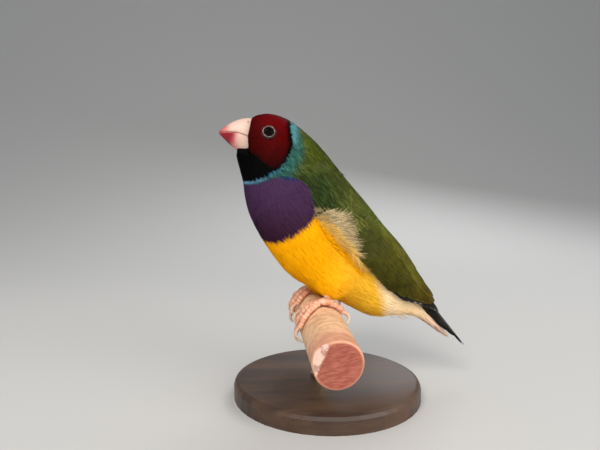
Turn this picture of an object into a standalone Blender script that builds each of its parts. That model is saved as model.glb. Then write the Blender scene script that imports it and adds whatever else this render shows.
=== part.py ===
"""A cock Gouldian finch gripping a short wooden peg on a display stand, life size.

The bird faces -X and its middle plane is Y = 0. Sizes are in millimetres in the bird's own frame, whose
origin is on the peg's axis under the bird. Each mesh is scaled to metres, and one empty lifts the bird
and its peg onto the stand, whose underside is at Z = 0.
"""

import math

import bmesh
import bpy
import numpy as np
from mathutils import Vector

MM = 0.001
GAP = 0.3

PERCH_RADIUS = 8.2
PERCH_NEAR_END = -37.0
PERCH_FAR_END = 19.0
PERCH_TILT = math.radians(9.1)
PERCH_IN_FRAME = (-2.0, 5.0, 26.0)

BASE_RADIUS = 34.0
BASE_THICKNESS = 6.0
ROD_RADIUS = 2.2

# Each ring of the body hangs between a dorsal and a ventral point of the middle plane:
# dorsal X and Z, ventral X and Z, half width, and how far the widest part lies towards the back.
BODY = (
    (-25.6, 74.2, -29.6, 65.6, 3.8, 0.10),
    (-24.7, 76.0, -31.1, 62.8, 5.6, 0.12),
    (-21.6, 77.1, -31.0, 60.0, 7.2, 0.16),
    (-18.3, 77.3, -30.3, 57.2, 8.2, 0.18),
    (-15.1, 76.7, -29.6, 54.4, 8.8, 0.16),
    (-12.1, 75.6, -29.0, 51.8, 9.2, 0.10),
    (-9.0, 73.9, -28.7, 48.6, 10.0, 0.04),
    (-4.9, 70.8, -28.2, 44.8, 11.5, 0.0),
    (0.3, 66.0, -27.1, 40.6, 13.3, 0.0),
    (6.8, 58.4, -25.0, 35.4, 15.0, 0.0),
    (13.2, 50.4, -21.6, 29.4, 15.5, -0.02),
    (19.6, 42.4, -17.0, 22.6, 15.6, -0.02),
    (25.2, 35.0, -10.4, 15.6, 15.1, 0.04),
    (29.3, 29.0, -1.2, 10.7, 14.2, 0.10),
    (32.2, 24.6, 9.2, 5.2, 12.6, 0.08),
    (33.8, 21.4, 19.0, 0.6, 10.4, 0.0),
    (34.8, 18.8, 27.6, 0.2, 7.6, 0.0),
)
HEAD_RINGS = (0.0, 0.3, 0.65, 1.0, 1.4, 1.8, 2.3, 2.8, 3.3, 3.8, 4.3, 4.9, 5.55)
NECK_RINGS = (5.68, 6.1, 6.5, 6.9, 7.3, 7.7)
TORSO_RINGS = tuple(np.round(np.linspace(7.8, 16.0, 18), 3))
BODY_SIDES = 32

# Past the rump the closed wings hold their own line over the tail, so their guide leaves the body here.
GUIDE_LEAVES_BODY_AT = 13
WING_GUIDE_REAR = (
    (29.8, 29.3, -1.2, 10.7, 14.2, 0.08),
    (34.2, 22.9, 9.2, 4.6, 12.0, 0.04),
    (38.0, 17.0, 20.0, 1.5, 9.2, 0.0),
    (41.5, 11.9, 30.0, 0.2, 6.8, 0.0),
    (44.7, 7.2, 37.0, -1.0, 5.0, 0.0),
    (47.6, 2.7, 42.0, -3.2, 3.8, 0.0),
    (50.4, -1.8, 46.5, -6.2, 3.0, 0.0),
)

EYE_AT = (-19.3, 69.4)
EYE_RADIUS = 2.5
EYE_SUNK = 1.75
LID_RADIUS = 2.32
LID_THICKNESS = 0.42

# Each tier of a closed wing: how many feathers, then for the first and the last of them, which lie
# next to the back and next to the belly: root place and angle, tip place and angle on the guide.
# After these come the width, the lift at the root and at the tip, and how far the outer edge stands up.
WING_TIERS = (
    ("primaries", 6, (12.0, 1.12, 16.1, 0.62), (11.6, 1.44, 17.6, 1.02), 4.4, 0.75, 0.80, 0.75),
    ("secondaries", 5, (11.6, 0.72, 15.5, 0.70), (11.6, 1.32, 14.5, 1.36), 6.2, 0.95, 1.10, 1.05),
    ("tertials", 3, (11.4, 0.54, 14.0, 0.40), (11.6, 0.70, 16.1, 0.56), 6.6, 0.90, 1.50, 1.00),
    ("primary_coverts", 3, (10.8, 1.36, 12.9, 1.34), (10.6, 1.46, 12.6, 1.46), 4.2, 1.00, 1.45, 0.80),
    ("greater_coverts", 6, (10.3, 0.62, 12.1, 0.56), (10.3, 1.38, 12.0, 1.40), 6.2, 0.70, 1.80, 1.05),
    ("median_coverts", 5, (9.2, 0.76, 10.9, 0.64), (9.4, 1.42, 10.9, 1.40), 6.4, 0.60, 1.80, 0.95),
)
FEATHER_THICKNESS = 0.55
SHAFT_RAISED = 0.14

# The bill's three profiles run from its base, inside the face feathers, to the tip.
BILL_X = (-25.0, -26.2, -27.6, -29.1, -30.6, -32.1, -33.5, -34.8, -36.0, -36.8, -37.2)
CULMEN_Z = (75.0, 75.3, 75.4, 75.3, 74.9, 74.3, 73.5, 72.6, 71.6, 70.8, 70.3)
MOUTH_Z = (68.3, 68.8, 69.1, 69.5, 69.7, 69.8, 69.9, 69.9, 69.9, 69.8, 69.8)
GONYS_Z = (63.2, 63.4, 63.6, 64.0, 64.7, 65.4, 66.2, 67.3, 68.3, 69.0, 69.4)
BILL_HALF_WIDTH = (4.5, 4.5, 4.4, 4.1, 3.7, 3.2, 2.6, 1.9, 1.2, 0.65, 0.3)
NOSTRIL_AT = (-26.5, 73.2)
NOSTRIL_RADIUS = 0.5

TAIL_ROOT = (31.9, 0.0, 20.4)
TAIL_DIRECTION = (0.632, 0.0, -0.775)
TAIL_ARC_RADIUS = 5.5
# Tail feathers of one side, from the middle pair outwards: sideways place, length, width, taper of the tip.
TAIL_FEATHERS = (
    (0.75, 41.0, 3.6, 0.45),
    (1.5, 34.5, 4.4, 0.30),
    (2.2, 31.5, 4.6, 0.25),
    (2.8, 28.5, 4.6, 0.22),
    (3.4, 25.5, 4.4, 0.22),
    (3.9, 22.5, 4.2, 0.22),
)
TAIL_FEATHER_STEP = 0.36
UPPERTAIL_COVERTS = ((0.0, 17.0, 5.0), (1.7, 15.0, 4.6), (-1.7, 15.0, 4.6))
UNDERTAIL_FEATHERS = 3

UNDERTAIL = (
    (32.0, 12.6, 26.6, 0.4, 6.2, 0.0),
    (36.4, 7.4, 32.0, 0.9, 5.2, 0.0),
    (40.3, 2.6, 37.2, 0.1, 4.0, 0.0),
    (44.4, -2.3, 42.4, -2.9, 2.8, 0.0),
    (48.2, -6.2, 47.2, -6.2, 1.6, 0.0),
    (51.6, -9.3, 51.2, -9.0, 0.5, 0.0),
)

FOOT_SPREAD = 8.6
TOE_RADIUS = 1.15
CLAW_LENGTH = 5.0
CLAW_ARCH = 1.2
TARSUS_RADIUS = 1.15
HUB_SIZE = (2.4, 1.7, 1.2)
LEG_LEAN = (0.38, 0.0, 0.92)
LEG_ENTERS_BELLY_AT = (12.4, 13.4)
LEG_HOLLOW = 2.1

MATERIALS = {
    "feather_red": ((0.24, 0.006, 0.010), 0.6, 0.0),
    "feather_teal": ((0.03, 0.22, 0.24), 0.6, 0.0),
    "feather_yellow": ((0.85, 0.42, 0.01), 0.6, 0.0),
    "feather_green": ((0.07, 0.12, 0.02), 0.55, 0.0),
    "feather_black": ((0.015, 0.014, 0.016), 0.5, 0.0),
    "feather_cream": ((0.75, 0.62, 0.45), 0.65, 0.0),
    "bill_horn": ((0.80, 0.55, 0.48), 0.35, 0.0),
    "eye_gloss": ((0.01, 0.008, 0.007), 0.08, 0.0),
    "foot_skin": ((0.70, 0.36, 0.28), 0.5, 0.0),
    "claw_horn": ((0.55, 0.40, 0.33), 0.35, 0.0),
    "peg_wood": ((0.60, 0.36, 0.22), 0.7, 0.0),
    "stand_wood": ((0.05, 0.03, 0.02), 0.4, 0.0),
    "stand_brass": ((0.55, 0.40, 0.18), 0.3, 1.0),
}


class Spline:
    """Natural cubic curves through the rows of a table, one row at each whole number."""

    def __init__(self, rows):
        self.rows = np.array(rows, float)
        count = len(self.rows)
        system = np.eye(count)
        right = np.zeros_like(self.rows)
        for i in range(1, count - 1):
            system[i, i - 1 : i + 2] = 1, 4, 1
            right[i] = 6 * (self.rows[i - 1] - 2 * self.rows[i] + self.rows[i + 1])
        self.bend = np.linalg.solve(system, right)

    def at(self, u):
        u = np.asarray(u, float)
        i = np.clip(np.floor(u).astype(int), 0, len(self.rows) - 2)
        t = (u - i)[..., None]
        a, b = self.rows[i], self.rows[i + 1]
        bend_a, bend_b = self.bend[i], self.bend[i + 1]
        cubic_a = ((1 - t) ** 3 - (1 - t)) * bend_a / 6
        cubic_b = (t**3 - t) * bend_b / 6
        return a * (1 - t) + b * t + cubic_a + cubic_b


class Loft:
    """A surface of egg-shaped rings. Angle 0 is the dorsal line, and the left side comes first."""

    def __init__(self, rows):
        self.spline = Spline(rows)

    def on(self, u, angle):
        u, angle = np.broadcast_arrays(np.asarray(u, float), np.asarray(angle, float))
        dorsal_x, dorsal_z, ventral_x, ventral_z, width, egg = np.moveaxis(self.spline.at(u), -1, 0)
        along, across = np.cos(angle), np.sin(angle)
        x = (dorsal_x + ventral_x) / 2 + (dorsal_x - ventral_x) / 2 * along
        z = (dorsal_z + ventral_z) / 2 + (dorsal_z - ventral_z) / 2 * along
        return np.stack([x, -width * across * (1 + egg * along), z], -1)

    def normal(self, u, angle):
        step = 1e-3
        along = self.on(np.asarray(u) + step, angle) - self.on(np.asarray(u) - step, angle)
        around = self.on(u, np.asarray(angle) + step) - self.on(u, np.asarray(angle) - step)
        outward = np.cross(around, along)
        return outward / np.linalg.norm(outward, axis=-1, keepdims=True)

    def lifted(self, u, angle, lift):
        return self.on(u, angle) + self.normal(u, angle) * np.asarray(lift, float)[..., None]

    def reach(self, u, angle):
        """Millimetres of surface for each radian round the ring."""
        step = 1e-3
        around = self.on(u, np.asarray(angle) + step) - self.on(u, np.asarray(angle) - step)
        return np.linalg.norm(around, axis=-1) / (2 * step)

    def rings(self, places, sides):
        angles = np.arange(sides) * 2 * math.pi / sides
        return [self.on(np.full(sides, u), angles) for u in places]

    def nearest(self, x, z):
        """The place on the left side whose X and Z are nearest to these."""
        u, angle = np.meshgrid(np.linspace(0, 6, 241), np.linspace(0.2, 2.6, 241), indexing="ij")
        points = self.on(u, angle)
        best = np.argmin((points[..., 0] - x) ** 2 + (points[..., 2] - z) ** 2)
        return u.flat[best], angle.flat[best]


def clear_scene():
    for thing in list(bpy.data.objects):
        bpy.data.objects.remove(thing)


def material(name):
    color, roughness, metallic = MATERIALS[name]
    found = bpy.data.materials.get(name)
    if found:
        return found
    made = bpy.data.materials.new(name)
    made.use_nodes = True
    shader = made.node_tree.nodes["Principled BSDF"]
    shader.inputs["Base Color"].default_value = (*color, 1)
    shader.inputs["Roughness"].default_value = roughness
    shader.inputs["Metallic"].default_value = metallic
    made.diffuse_color = (*color, 1)
    return made


def mesh_object(name, points, faces, finish, parent=None):
    """A mesh object from points in millimetres."""
    mesh = bpy.data.meshes.new(name)
    mesh.from_pydata([tuple(float(v) * MM for v in p) for p in points], [], [tuple(f) for f in faces])
    made = bpy.data.objects.new(name, mesh)
    bpy.context.scene.collection.objects.link(made)
    made.parent = parent
    mesh.materials.append(material(finish))
    edit = bmesh.new()
    edit.from_mesh(mesh)
    bmesh.ops.recalc_face_normals(edit, faces=edit.faces)
    edit.to_mesh(mesh)
    edit.free()
    return made


def tube(name, rings, finish, parent=None, pointed=False):
    """A closed tube through rings of equal size, capped flat, or drawn to a point at its last ring."""
    sides = len(rings[0])
    points = [p for ring in rings for p in ring]
    faces = []
    for r in range(len(rings) - 1):
        for k in range(sides):
            a, b = r * sides + k, r * sides + (k + 1) % sides
            faces.append((a, b, b + sides))
            faces.append((a, b + sides, a + sides))
    faces.append(range(sides))
    last = (len(rings) - 1) * sides
    if pointed:
        points.append(np.mean(rings[-1], axis=0) + (np.mean(rings[-1], axis=0) - np.mean(rings[-2], axis=0)) * 0.5)
        faces += [(last + k, last + (k + 1) % sides, len(points) - 1) for k in range(sides)]
    else:
        faces.append(range(last, last + sides))
    return mesh_object(name, points, faces, finish, parent)


def shade(thing, angle=40):
    thing.data.shade_smooth()
    thing.data.set_sharp_from_angle(angle=math.radians(angle))
    return thing


def keep_largest(mesh):
    """Leaves only the largest closed surface of the mesh."""
    edit = bmesh.new()
    edit.from_mesh(mesh)
    bmesh.ops.triangulate(edit, faces=edit.faces)
    unseen = set(edit.faces)
    islands = []
    while unseen:
        stack = [unseen.pop()]
        island = list(stack)
        while stack:
            for edge in stack.pop().edges:
                for face in edge.link_faces:
                    if face in unseen:
                        unseen.discard(face)
                        stack.append(face)
                        island.append(face)
        islands.append(island)
    largest = max(islands, key=lambda island: sum(face.calc_area() for face in island))
    scraps = [face for island in islands if island is not largest for face in island]
    bmesh.ops.delete(edit, geom=scraps, context="FACES")
    bmesh.ops.triangulate(edit, faces=edit.faces)
    edit.to_mesh(mesh)
    edit.free()


def combine(body, operation, others, solver="MANIFOLD"):
    """Joins the others to the body, or cuts them from it, in one Boolean, and removes them."""
    group = bpy.data.collections.new(body.name + "_operands")
    bpy.context.scene.collection.children.link(group)
    for other in others:
        for home in list(other.users_collection):
            home.objects.unlink(other)
        group.objects.link(other)
    step = body.modifiers.new("combine", "BOOLEAN")
    step.operation = operation
    step.solver = solver
    step.operand_type = "COLLECTION"
    step.collection = group
    bpy.context.view_layer.update()
    graph = bpy.context.evaluated_depsgraph_get()
    joined = bpy.data.meshes.new_from_object(body.evaluated_get(graph))
    body.modifiers.clear()
    body.data = joined
    for other in list(group.objects):
        bpy.data.objects.remove(other)
    bpy.data.collections.remove(group)
    keep_largest(joined)
    return body


def grown(thing, gap=GAP):
    """A copy of a closed mesh with every face moved out by the gap, for cutting its neighbours clear."""
    mesh = thing.data.copy()
    edit = bmesh.new()
    edit.from_mesh(mesh)
    edit.normal_update()
    moves = []
    for vertex in edit.verts:
        square = min(vertex.normal.dot(face.normal) for face in vertex.link_faces)
        moves.append(vertex.normal * (gap * MM / max(square, 0.5)))
    for vertex, move in zip(edit.verts, moves):
        vertex.co += move
    edit.to_mesh(mesh)
    edit.free()
    made = bpy.data.objects.new(thing.name + "_grown", mesh)
    made.parent = thing.parent
    bpy.context.scene.collection.objects.link(made)
    return made


def ball(name, centre, radius, finish, parent, segments=16, rings=9, stretch=(1, 1, 1)):
    points, faces = [], []
    for i in range(1, rings):
        polar = math.pi * i / rings
        for k in range(segments):
            turn = 2 * math.pi * k / segments
            points.append((math.sin(polar) * math.cos(turn), math.sin(polar) * math.sin(turn), math.cos(polar)))
    top, bottom = len(points), len(points) + 1
    points += [(0, 0, 1), (0, 0, -1)]
    for i in range(rings - 2):
        for k in range(segments):
            a, b = i * segments + k, i * segments + (k + 1) % segments
            faces += [(a, b, b + segments), (a, b + segments, a + segments)]
    for k in range(segments):
        nxt = (k + 1) % segments
        faces += [(top, nxt, k), (bottom, (rings - 2) * segments + k, (rings - 2) * segments + nxt)]
    points = [np.asarray(centre) + radius * np.multiply(p, stretch) for p in points]
    return mesh_object(name, points, faces, finish, parent)


def perpendicular_pair(direction):
    direction = Vector(direction).normalized()
    first = direction.orthogonal().normalized()
    return np.array(first), np.array(direction.cross(first))


def swept(name, path, radii, finish, parent, sides=8, pointed=False):
    """A round tube along a path, its rings turned as little as possible from one to the next."""
    path = [np.asarray(p, float) for p in path]
    rings = []
    side = None
    for i, (centre, radius) in enumerate(zip(path, radii)):
        ahead = path[min(i + 1, len(path) - 1)] - path[max(i - 1, 0)]
        ahead = ahead / np.linalg.norm(ahead)
        if side is None:
            side, _ = perpendicular_pair(ahead)
        side = side - ahead * (side @ ahead)
        side = side / np.linalg.norm(side)
        other = np.cross(ahead, side)
        turn = np.arange(sides) * 2 * math.pi / sides
        rings.append(centre + radius * (np.cos(turn)[:, None] * side + np.sin(turn)[:, None] * other))
    return tube(name, rings, finish, parent, pointed)


def bill_rings(grow, upper, lower):
    """Rings of the bill from its base to its tip: the upper half, the lower half or both in one."""
    rings = []
    turn = np.linspace(0, math.pi, 9)
    for x, top, mouth, bottom, half in zip(BILL_X, CULMEN_Z, MOUTH_Z, GONYS_Z, BILL_HALF_WIDTH):
        side = np.cos(turn)
        lift = np.sin(turn) ** 0.9
        ring = []
        if upper:
            base = mouth + (0 if lower else GAP / 2)
            height = max(top + grow - base, 0.15)
            ring += [(x, -(half + grow) * c, base + height * s) for c, s in zip(side, lift)]
        if lower:
            base = mouth - (0 if upper else GAP / 2)
            height = max(base - bottom + grow, 0.12)
            width = (half + grow) * (1 if upper else 0.96)
            under = [(x, -width * c, base - height * s) for c, s in zip(side, lift)]
            ring += under[::-1][1:-1] if upper else under[::-1]
        rings.append(np.array(ring))
    return rings


def make_bill(bird):
    cutter_rings = bill_rings(GAP, True, True)
    cutter_rings[0][:, 0] += GAP
    cutter_rings.append(cutter_rings[-1] + np.array([-2.0, 0, 0]))
    cutter = tube("bill_seat", cutter_rings, "bill_horn", bird)
    upper = tube("bill_upper", bill_rings(0, True, False), "bill_horn", bird)
    lower = tube("bill_lower", bill_rings(0, False, True), "bill_horn", bird)
    pits = []
    for side in (-1, 1):
        x, z = NOSTRIL_AT
        share = (z - np.interp(-x, [-v for v in BILL_X], MOUTH_Z)) / 6.3
        y = side * 4.5 * math.sqrt(max(0.0, 1 - share**2))
        pits.append(ball("pit", (x, y, z), NOSTRIL_RADIUS, "bill_horn", bird, 8, 6, (1.2, 1, 0.8)))
    combine(upper, "DIFFERENCE", pits)
    shade(upper)
    shade(lower)
    return cutter


def make_head(bird, body, bill_cutter):
    head = tube("head", body.rings(HEAD_RINGS, BODY_SIDES), "feather_red", bird)
    u, angle = body.nearest(*EYE_AT)
    lids, sockets = [], []
    for side, name in ((-1, "left"), (1, "right")):
        mirror = np.array([1, -side, 1])
        surface = body.on(u, angle) * mirror
        outward = body.normal(u, angle) * mirror
        first, second = perpendicular_pair(outward)
        centre = surface - outward * EYE_SUNK
        lid_centre = centre + outward * math.sqrt(EYE_RADIUS**2 - (LID_RADIUS - LID_THICKNESS) ** 2)
        turns = np.linspace(0, 2 * math.pi, 17)[:-1]
        loop = [lid_centre + LID_RADIUS * (math.cos(t) * first + math.sin(t) * second) for t in turns]
        lids.append(ring_of(loop, lid_centre, outward, LID_THICKNESS, bird))
        sockets.append(ball("socket", centre, EYE_RADIUS + GAP, "feather_red", bird, 16, 10))
        shade(ball("eye_" + name, centre, EYE_RADIUS, "eye_gloss", bird, 16, 9))
    combine(head, "UNION", lids)
    combine(head, "DIFFERENCE", [*sockets, bill_cutter])
    return shade(head)


def ring_of(loop, centre, outward, thickness, parent):
    """A closed ring with a six-sided section round a loop of points: an eyelid."""
    points, faces = [], []
    sides, count = 6, len(loop)
    for p in loop:
        across = (p - centre) / np.linalg.norm(p - centre)
        for k in range(sides):
            turn = 2 * math.pi * k / sides
            points.append(p + thickness * (math.cos(turn) * across + math.sin(turn) * outward))
    for i in range(count):
        for k in range(sides):
            a, b = i * sides + k, i * sides + (k + 1) % sides
            c, d = (i + 1) % count * sides + k, (i + 1) % count * sides + (k + 1) % sides
            faces += [(a, b, d), (a, d, c)]
    return mesh_object("lid", points, faces, "feather_red", parent)


def feather(name, place, width, lift, tilt, finish, parent, shares, shapes, shaft=-0.12):
    """A closed vane. place(share, across, lift) gives its points, and the edge at +1 across stands up."""
    across = (-1.0, 1.0) if shaft is None else (-1.0, shaft, 1.0)
    raised = (0.0, 0.0) if shaft is None else (0.0, SHAFT_RAISED, 0.0)
    top, low = [], []
    for share, shape in zip(shares, shapes):
        half = width / 2 * shape
        stand = [lift(share) + tilt / 2 * a * shape for a in across]
        thick = FEATHER_THICKNESS / 2
        top.append([place(share, half * a, h + thick + r) for a, h, r in zip(across, stand, raised)])
        low.append([place(share, half * a, h - thick) for a, h in zip(across, stand)])
    rows, columns = len(shares), len(across)
    points = [p for row in top + low for p in row]
    under = rows * columns
    faces = []
    for i in range(rows - 1):
        for j in range(columns - 1):
            a = i * columns + j
            for three in ((a, a + columns, a + columns + 1), (a, a + columns + 1, a + 1)):
                faces += [three, tuple(under + v for v in reversed(three))]
    rim = [j for j in range(columns)]
    rim += [i * columns + columns - 1 for i in range(1, rows)]
    rim += [(rows - 1) * columns + j for j in range(columns - 2, -1, -1)]
    rim += [i * columns for i in range(rows - 2, 0, -1)]
    for a, b in zip(rim, rim[1:] + rim[:1]):
        faces += [(a, b, under + b), (a, under + b, under + a)]
    return mesh_object(name, points, faces, finish, parent)


def wing_pad(name, guide, side, parent):
    """The wing's muscle and bone under its feathers: a sheet that fades towards its edges and its rear."""
    places = np.linspace(7.9, 15.0, 9)
    upper, under = [], []
    for u in places:
        share = np.linspace(0, 1, 6)
        top_angle = np.interp(u, [7.9, 9.2, 13, 15.0], [1.12, 0.44, 0.38, 0.50])
        low_angle = np.interp(u, [7.9, 9.0, 11, 15.0], [1.48, 1.55, 1.48, 1.30])
        angle = top_angle + (low_angle - top_angle) * share
        crown = np.sin(share * math.pi) ** 0.6
        outer = np.interp(u, [7.9, 9.5, 12, 15.0], [0.9, 1.9, 1.1, 0.75])
        upper.append(guide.lifted(np.full(6, u), angle, 0.6 + (outer - 0.6) * crown))
        under.append(guide.lifted(np.full(6, u), angle, np.full(6, 0.2)))
    rings = [np.concatenate([top, low[::-1]]) * np.array([1, -side, 1]) for top, low in zip(upper, under)]
    return tube(name, rings, "feather_green", parent)


def make_wing(bird, guide, torso_cutter, tail_cutter, side, name):
    """A closed wing: tiers of overlapping feathers with their roots in the pad."""
    wing = wing_pad(name, guide, side, bird)
    feathers = []
    for tier, count, first, last, width, root_lift, tip_lift, tilt in WING_TIERS:
        for i in range(count):
            share_in_tier = i / (count - 1)
            u0, a0, u1, a1 = np.array(first) + (np.array(last) - np.array(first)) * share_in_tier
            if tier == "primaries":
                u1 += 0.45 * math.sin(math.pi * share_in_tier)

            def place(share, across, lift, u0=u0, a0=a0, u1=u1, a1=a1):
                u = u0 + (u1 - u0) * share
                angle = a0 + (a1 - a0) * share
                angle = angle + across / guide.reach(u, angle)
                return guide.lifted(u, angle, lift) * np.array([1, -side, 1])

            def height(share, root_lift=root_lift, tip_lift=tip_lift):
                return root_lift + (tip_lift - root_lift) * share

            shares, shapes, shaft = (0.0, 0.35, 0.7, 0.9, 1.0), (0.62, 0.95, 1.0, 0.72, 0.22), -0.12
            if tier == "primaries":
                shapes = (0.7, 1.0, 0.86, 0.55, 0.2)
            if "coverts" in tier:
                shares, shapes, shaft = (0.0, 0.6, 0.86, 1.0), (0.5, 1.0, 0.8, 0.3), None
            made = feather(tier, place, width, height, tilt, "feather_green", bird, shares, shapes, shaft)
            feathers.append(made)
    combine(wing, "UNION", feathers)
    combine(wing, "DIFFERENCE", [torso_cutter, tail_cutter])
    shade(wing, 30)
    return wing


def tail_place(root, ahead, length, sideways):
    """Points of a tail feather: sideways places run round a low arch, lower the further out."""
    ahead = np.array(ahead)
    above = np.array([-ahead[2], 0, ahead[0]])

    def place(share, across, lift):
        turn = (sideways * (0.55 + 0.45 * min(1.0, share * 2)) + across) / TAIL_ARC_RADIUS
        radius = TAIL_ARC_RADIUS + lift
        flat = np.array([0, radius * math.sin(turn), 0]) + above * (radius * math.cos(turn) - TAIL_ARC_RADIUS)
        return np.array(root) + ahead * length * share + flat

    return place


def make_tail(bird, torso_cutter):
    """Twelve tail feathers closed into a narrow fan, and the coverts over their roots."""
    root, ahead = np.array(TAIL_ROOT), np.array(TAIL_DIRECTION)
    above = np.array([-ahead[2], 0, ahead[0]])
    rings = []
    for share in (0.0, 0.12, 0.24, 0.34):
        half = float(np.interp(share, [0, 0.15, 0.34], [2.4, 3.2, 2.2]))
        deep = float(np.interp(share, [0, 0.34], [2.6, 1.6]))
        turn = np.linspace(-1, 1, 7) * half / TAIL_ARC_RADIUS
        spine = root + ahead * 41.0 * share
        top, low = [], []
        for t in turn:
            out = np.array([0, TAIL_ARC_RADIUS * math.sin(t), 0])
            top.append(spine + out - above * (TAIL_ARC_RADIUS * (1 - math.cos(t)) + 0.2))
            low.append(top[-1] - above * deep)
        rings.append(np.array(top + low[::-1]))
    tail = tube("tail", rings, "feather_black", bird)
    feathers = []
    for i, (sideways, length, width, taper) in enumerate(TAIL_FEATHERS):
        for side in (-1, 1):
            depth = -TAIL_FEATHER_STEP * i - (0.12 if side > 0 else 0)
            place = tail_place(root, ahead, length, side * sideways)

            def mirrored(share, across, lift, place=place, side=side):
                return place(share, side * across, lift)

            shares = (0.0, 0.45, 1 - taper, 1 - taper / 3, 1.0)
            shapes = (0.5, 0.95, 1.0, 0.5 if i == 0 else 0.75, 0.14 if i == 0 else 0.3)
            feathers.append(
                feather("rectrix", mirrored, width, lambda share, d=depth: d, -0.3, "feather_black", bird, shares, shapes)
            )
    for sideways, length, width in UPPERTAIL_COVERTS:
        place = tail_place(root - ahead * 1.0, ahead, length, sideways)
        feathers.append(
            feather(
                "uppertail_covert", place, width, lambda share, s=sideways: 0.62 - 0.1 * abs(s) + 0.15 * share,
                0.0, "feather_black", bird, (0.0, 0.4, 0.75, 0.92, 1.0), (0.7, 1.0, 0.9, 0.6, 0.2), 0.0,
            )
        )
    combine(tail, "UNION", feathers)
    combine(tail, "DIFFERENCE", [torso_cutter])
    shade(tail, 30)
    return tail


def tail_room(bird, face):
    """A plain block that holds the tail with the gap all round, for cutting what lies above or below it."""
    root, ahead = np.array(TAIL_ROOT), np.array(TAIL_DIRECTION)
    above = np.array([-ahead[2], 0, ahead[0]])
    rings = []
    for share in (-0.1, 0.2, 0.45, 0.7, 0.85, 1.05):
        half = float(np.interp(share, [0, 0.3, 0.6, 0.8, 1], [4.4, 6.4, 6.0, 4.2, 2.2]))
        turn = np.linspace(-1, 1, 9) * half / TAIL_ARC_RADIUS
        spine = root + ahead * 41.0 * share
        top, low = [], []
        for t in turn:
            lift = float(np.interp(abs(t) * TAIL_ARC_RADIUS, [0, 1.5, 3.0, 4.5], [1.25, 1.05, 0.5, -0.4])) + GAP
            arch = np.array([0, math.sin(t), 0]) + above * math.cos(t)
            top.append(spine - above * TAIL_ARC_RADIUS + arch * (TAIL_ARC_RADIUS + lift))
            low.append(spine - above * TAIL_ARC_RADIUS + arch * (TAIL_ARC_RADIUS - 2.9 - GAP))
        rings.append(np.array(top + low[::-1]))
    return tube("tail_room", rings, "feather_black", bird)


def make_undertail(bird, torso_cutter, tail_cutter):
    """The long soft coverts under the tail: a tapering core with feathers round its lower side."""
    loft = Loft(UNDERTAIL)
    core = Loft([(*row[:4], row[4] * 0.86, row[5]) for row in UNDERTAIL])
    cone = tube("undertail_coverts", core.rings(np.linspace(0, 4.6, 7), 12), "feather_cream", bird)
    feathers = []
    for i in range(UNDERTAIL_FEATHERS):
        for side in (-1, 1):
            angle = math.pi - 0.24 - 0.62 * i
            end = 5.0 - 0.8 * i

            def place(share, across, lift, angle=angle, end=end, side=side):
                u = 0.1 + (end - 0.1) * share
                turn = angle + across / max(loft.reach(u, angle), 1.2)
                return loft.lifted(u, turn, lift) * np.array([1, -side, 1])

            feathers.append(
                feather(
                    "covert", place, 4.8, lambda share, i=i: 0.05 - 0.12 * i, 0.5, "feather_cream", bird,
                    (0.0, 0.5, 0.85, 1.0), (0.8, 0.95, 0.55, 0.16), 0.0,
                )
            )
    combine(cone, "UNION", feathers)
    combine(cone, "DIFFERENCE", [torso_cutter, tail_cutter])
    shade(cone, 30)


def on_perch(along, angle, radius):
    """A point beside the peg: millimetres along its axis, and an angle round it with the top at a right angle."""
    axis = np.array([0, math.cos(PERCH_TILT), math.sin(PERCH_TILT)])
    above = np.array([0, -math.sin(PERCH_TILT), math.cos(PERCH_TILT)])
    return axis * along + radius * (math.cos(angle) * np.array([1, 0, 0]) + math.sin(angle) * above)


# Each toe: its name, where it leaves the hub and where it ends, both as an angle round the peg in degrees,
# its sideways reach along the peg, outwards from the bird, and its thickness against the middle toe's.
TOES = (
    ("hallux", 78, 34, -0.4, 1.0),
    ("inner", 102, 152, -4.4, 0.88),
    ("middle", 102, 186, 0.2, 1.0),
    ("outer", 102, 166, 4.6, 0.88),
)


def hub(along):
    return on_perch(along, math.radians(91), PERCH_RADIUS + GAP + 1.25)


def toe_path(side, start, end, reach, size):
    """Points along a toe's middle and its radius at each, a little thicker at the joints."""
    share = np.linspace(0, 1, 7)
    joints = 1 + 0.08 * np.cos(share * 3 * 2 * math.pi)
    radii = TOE_RADIUS * size * joints * (1 - 0.22 * share)
    angles = np.radians(start + (end - start) * share)
    along = side * (FOOT_SPREAD + reach * np.sin(share * math.pi / 2))
    path = [on_perch(s, a, PERCH_RADIUS + GAP + r) for s, a, r in zip(along, angles, radii)]
    return path, radii, along[-1]


def make_foot(bird, side, name):
    pieces = []
    for toe, start, end, reach, size in TOES:
        path, radii, along = toe_path(side, start, end, reach, size)
        pieces.append(swept("toe", path, radii, "foot_skin", bird, 7))
        make_claw(bird, name, toe, along, end, math.copysign(1, end - start), radii[-1])
    foot = ball("foot_" + name, hub(side * FOOT_SPREAD), 1.0, "foot_skin", bird, 10, 6, HUB_SIZE)
    combine(foot, "UNION", pieces)
    shade(foot)


def make_claw(bird, name, toe, along, end, turning, radius):
    """A curved claw that goes on from the toe's end, standing off the peg towards its point."""
    share = np.linspace(0, 1, 6)
    step = math.degrees(1 / (PERCH_RADIUS + 1.5))
    start = end + turning * step * (GAP + 0.1)
    angles = np.radians(start + turning * step * CLAW_LENGTH * share)
    lift = PERCH_RADIUS + GAP + 0.2 + radius * 0.8 * (1 - share) + CLAW_ARCH * np.sin(share * math.pi)
    path = [on_perch(along, a, r) for a, r in zip(angles, lift)]
    radii = radius * 0.74 * (1 - share) ** 0.75 + 0.12
    return shade(swept(f"claw_{name}_{toe}", path, radii, "claw_horn", bird, 6, pointed=True))


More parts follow.
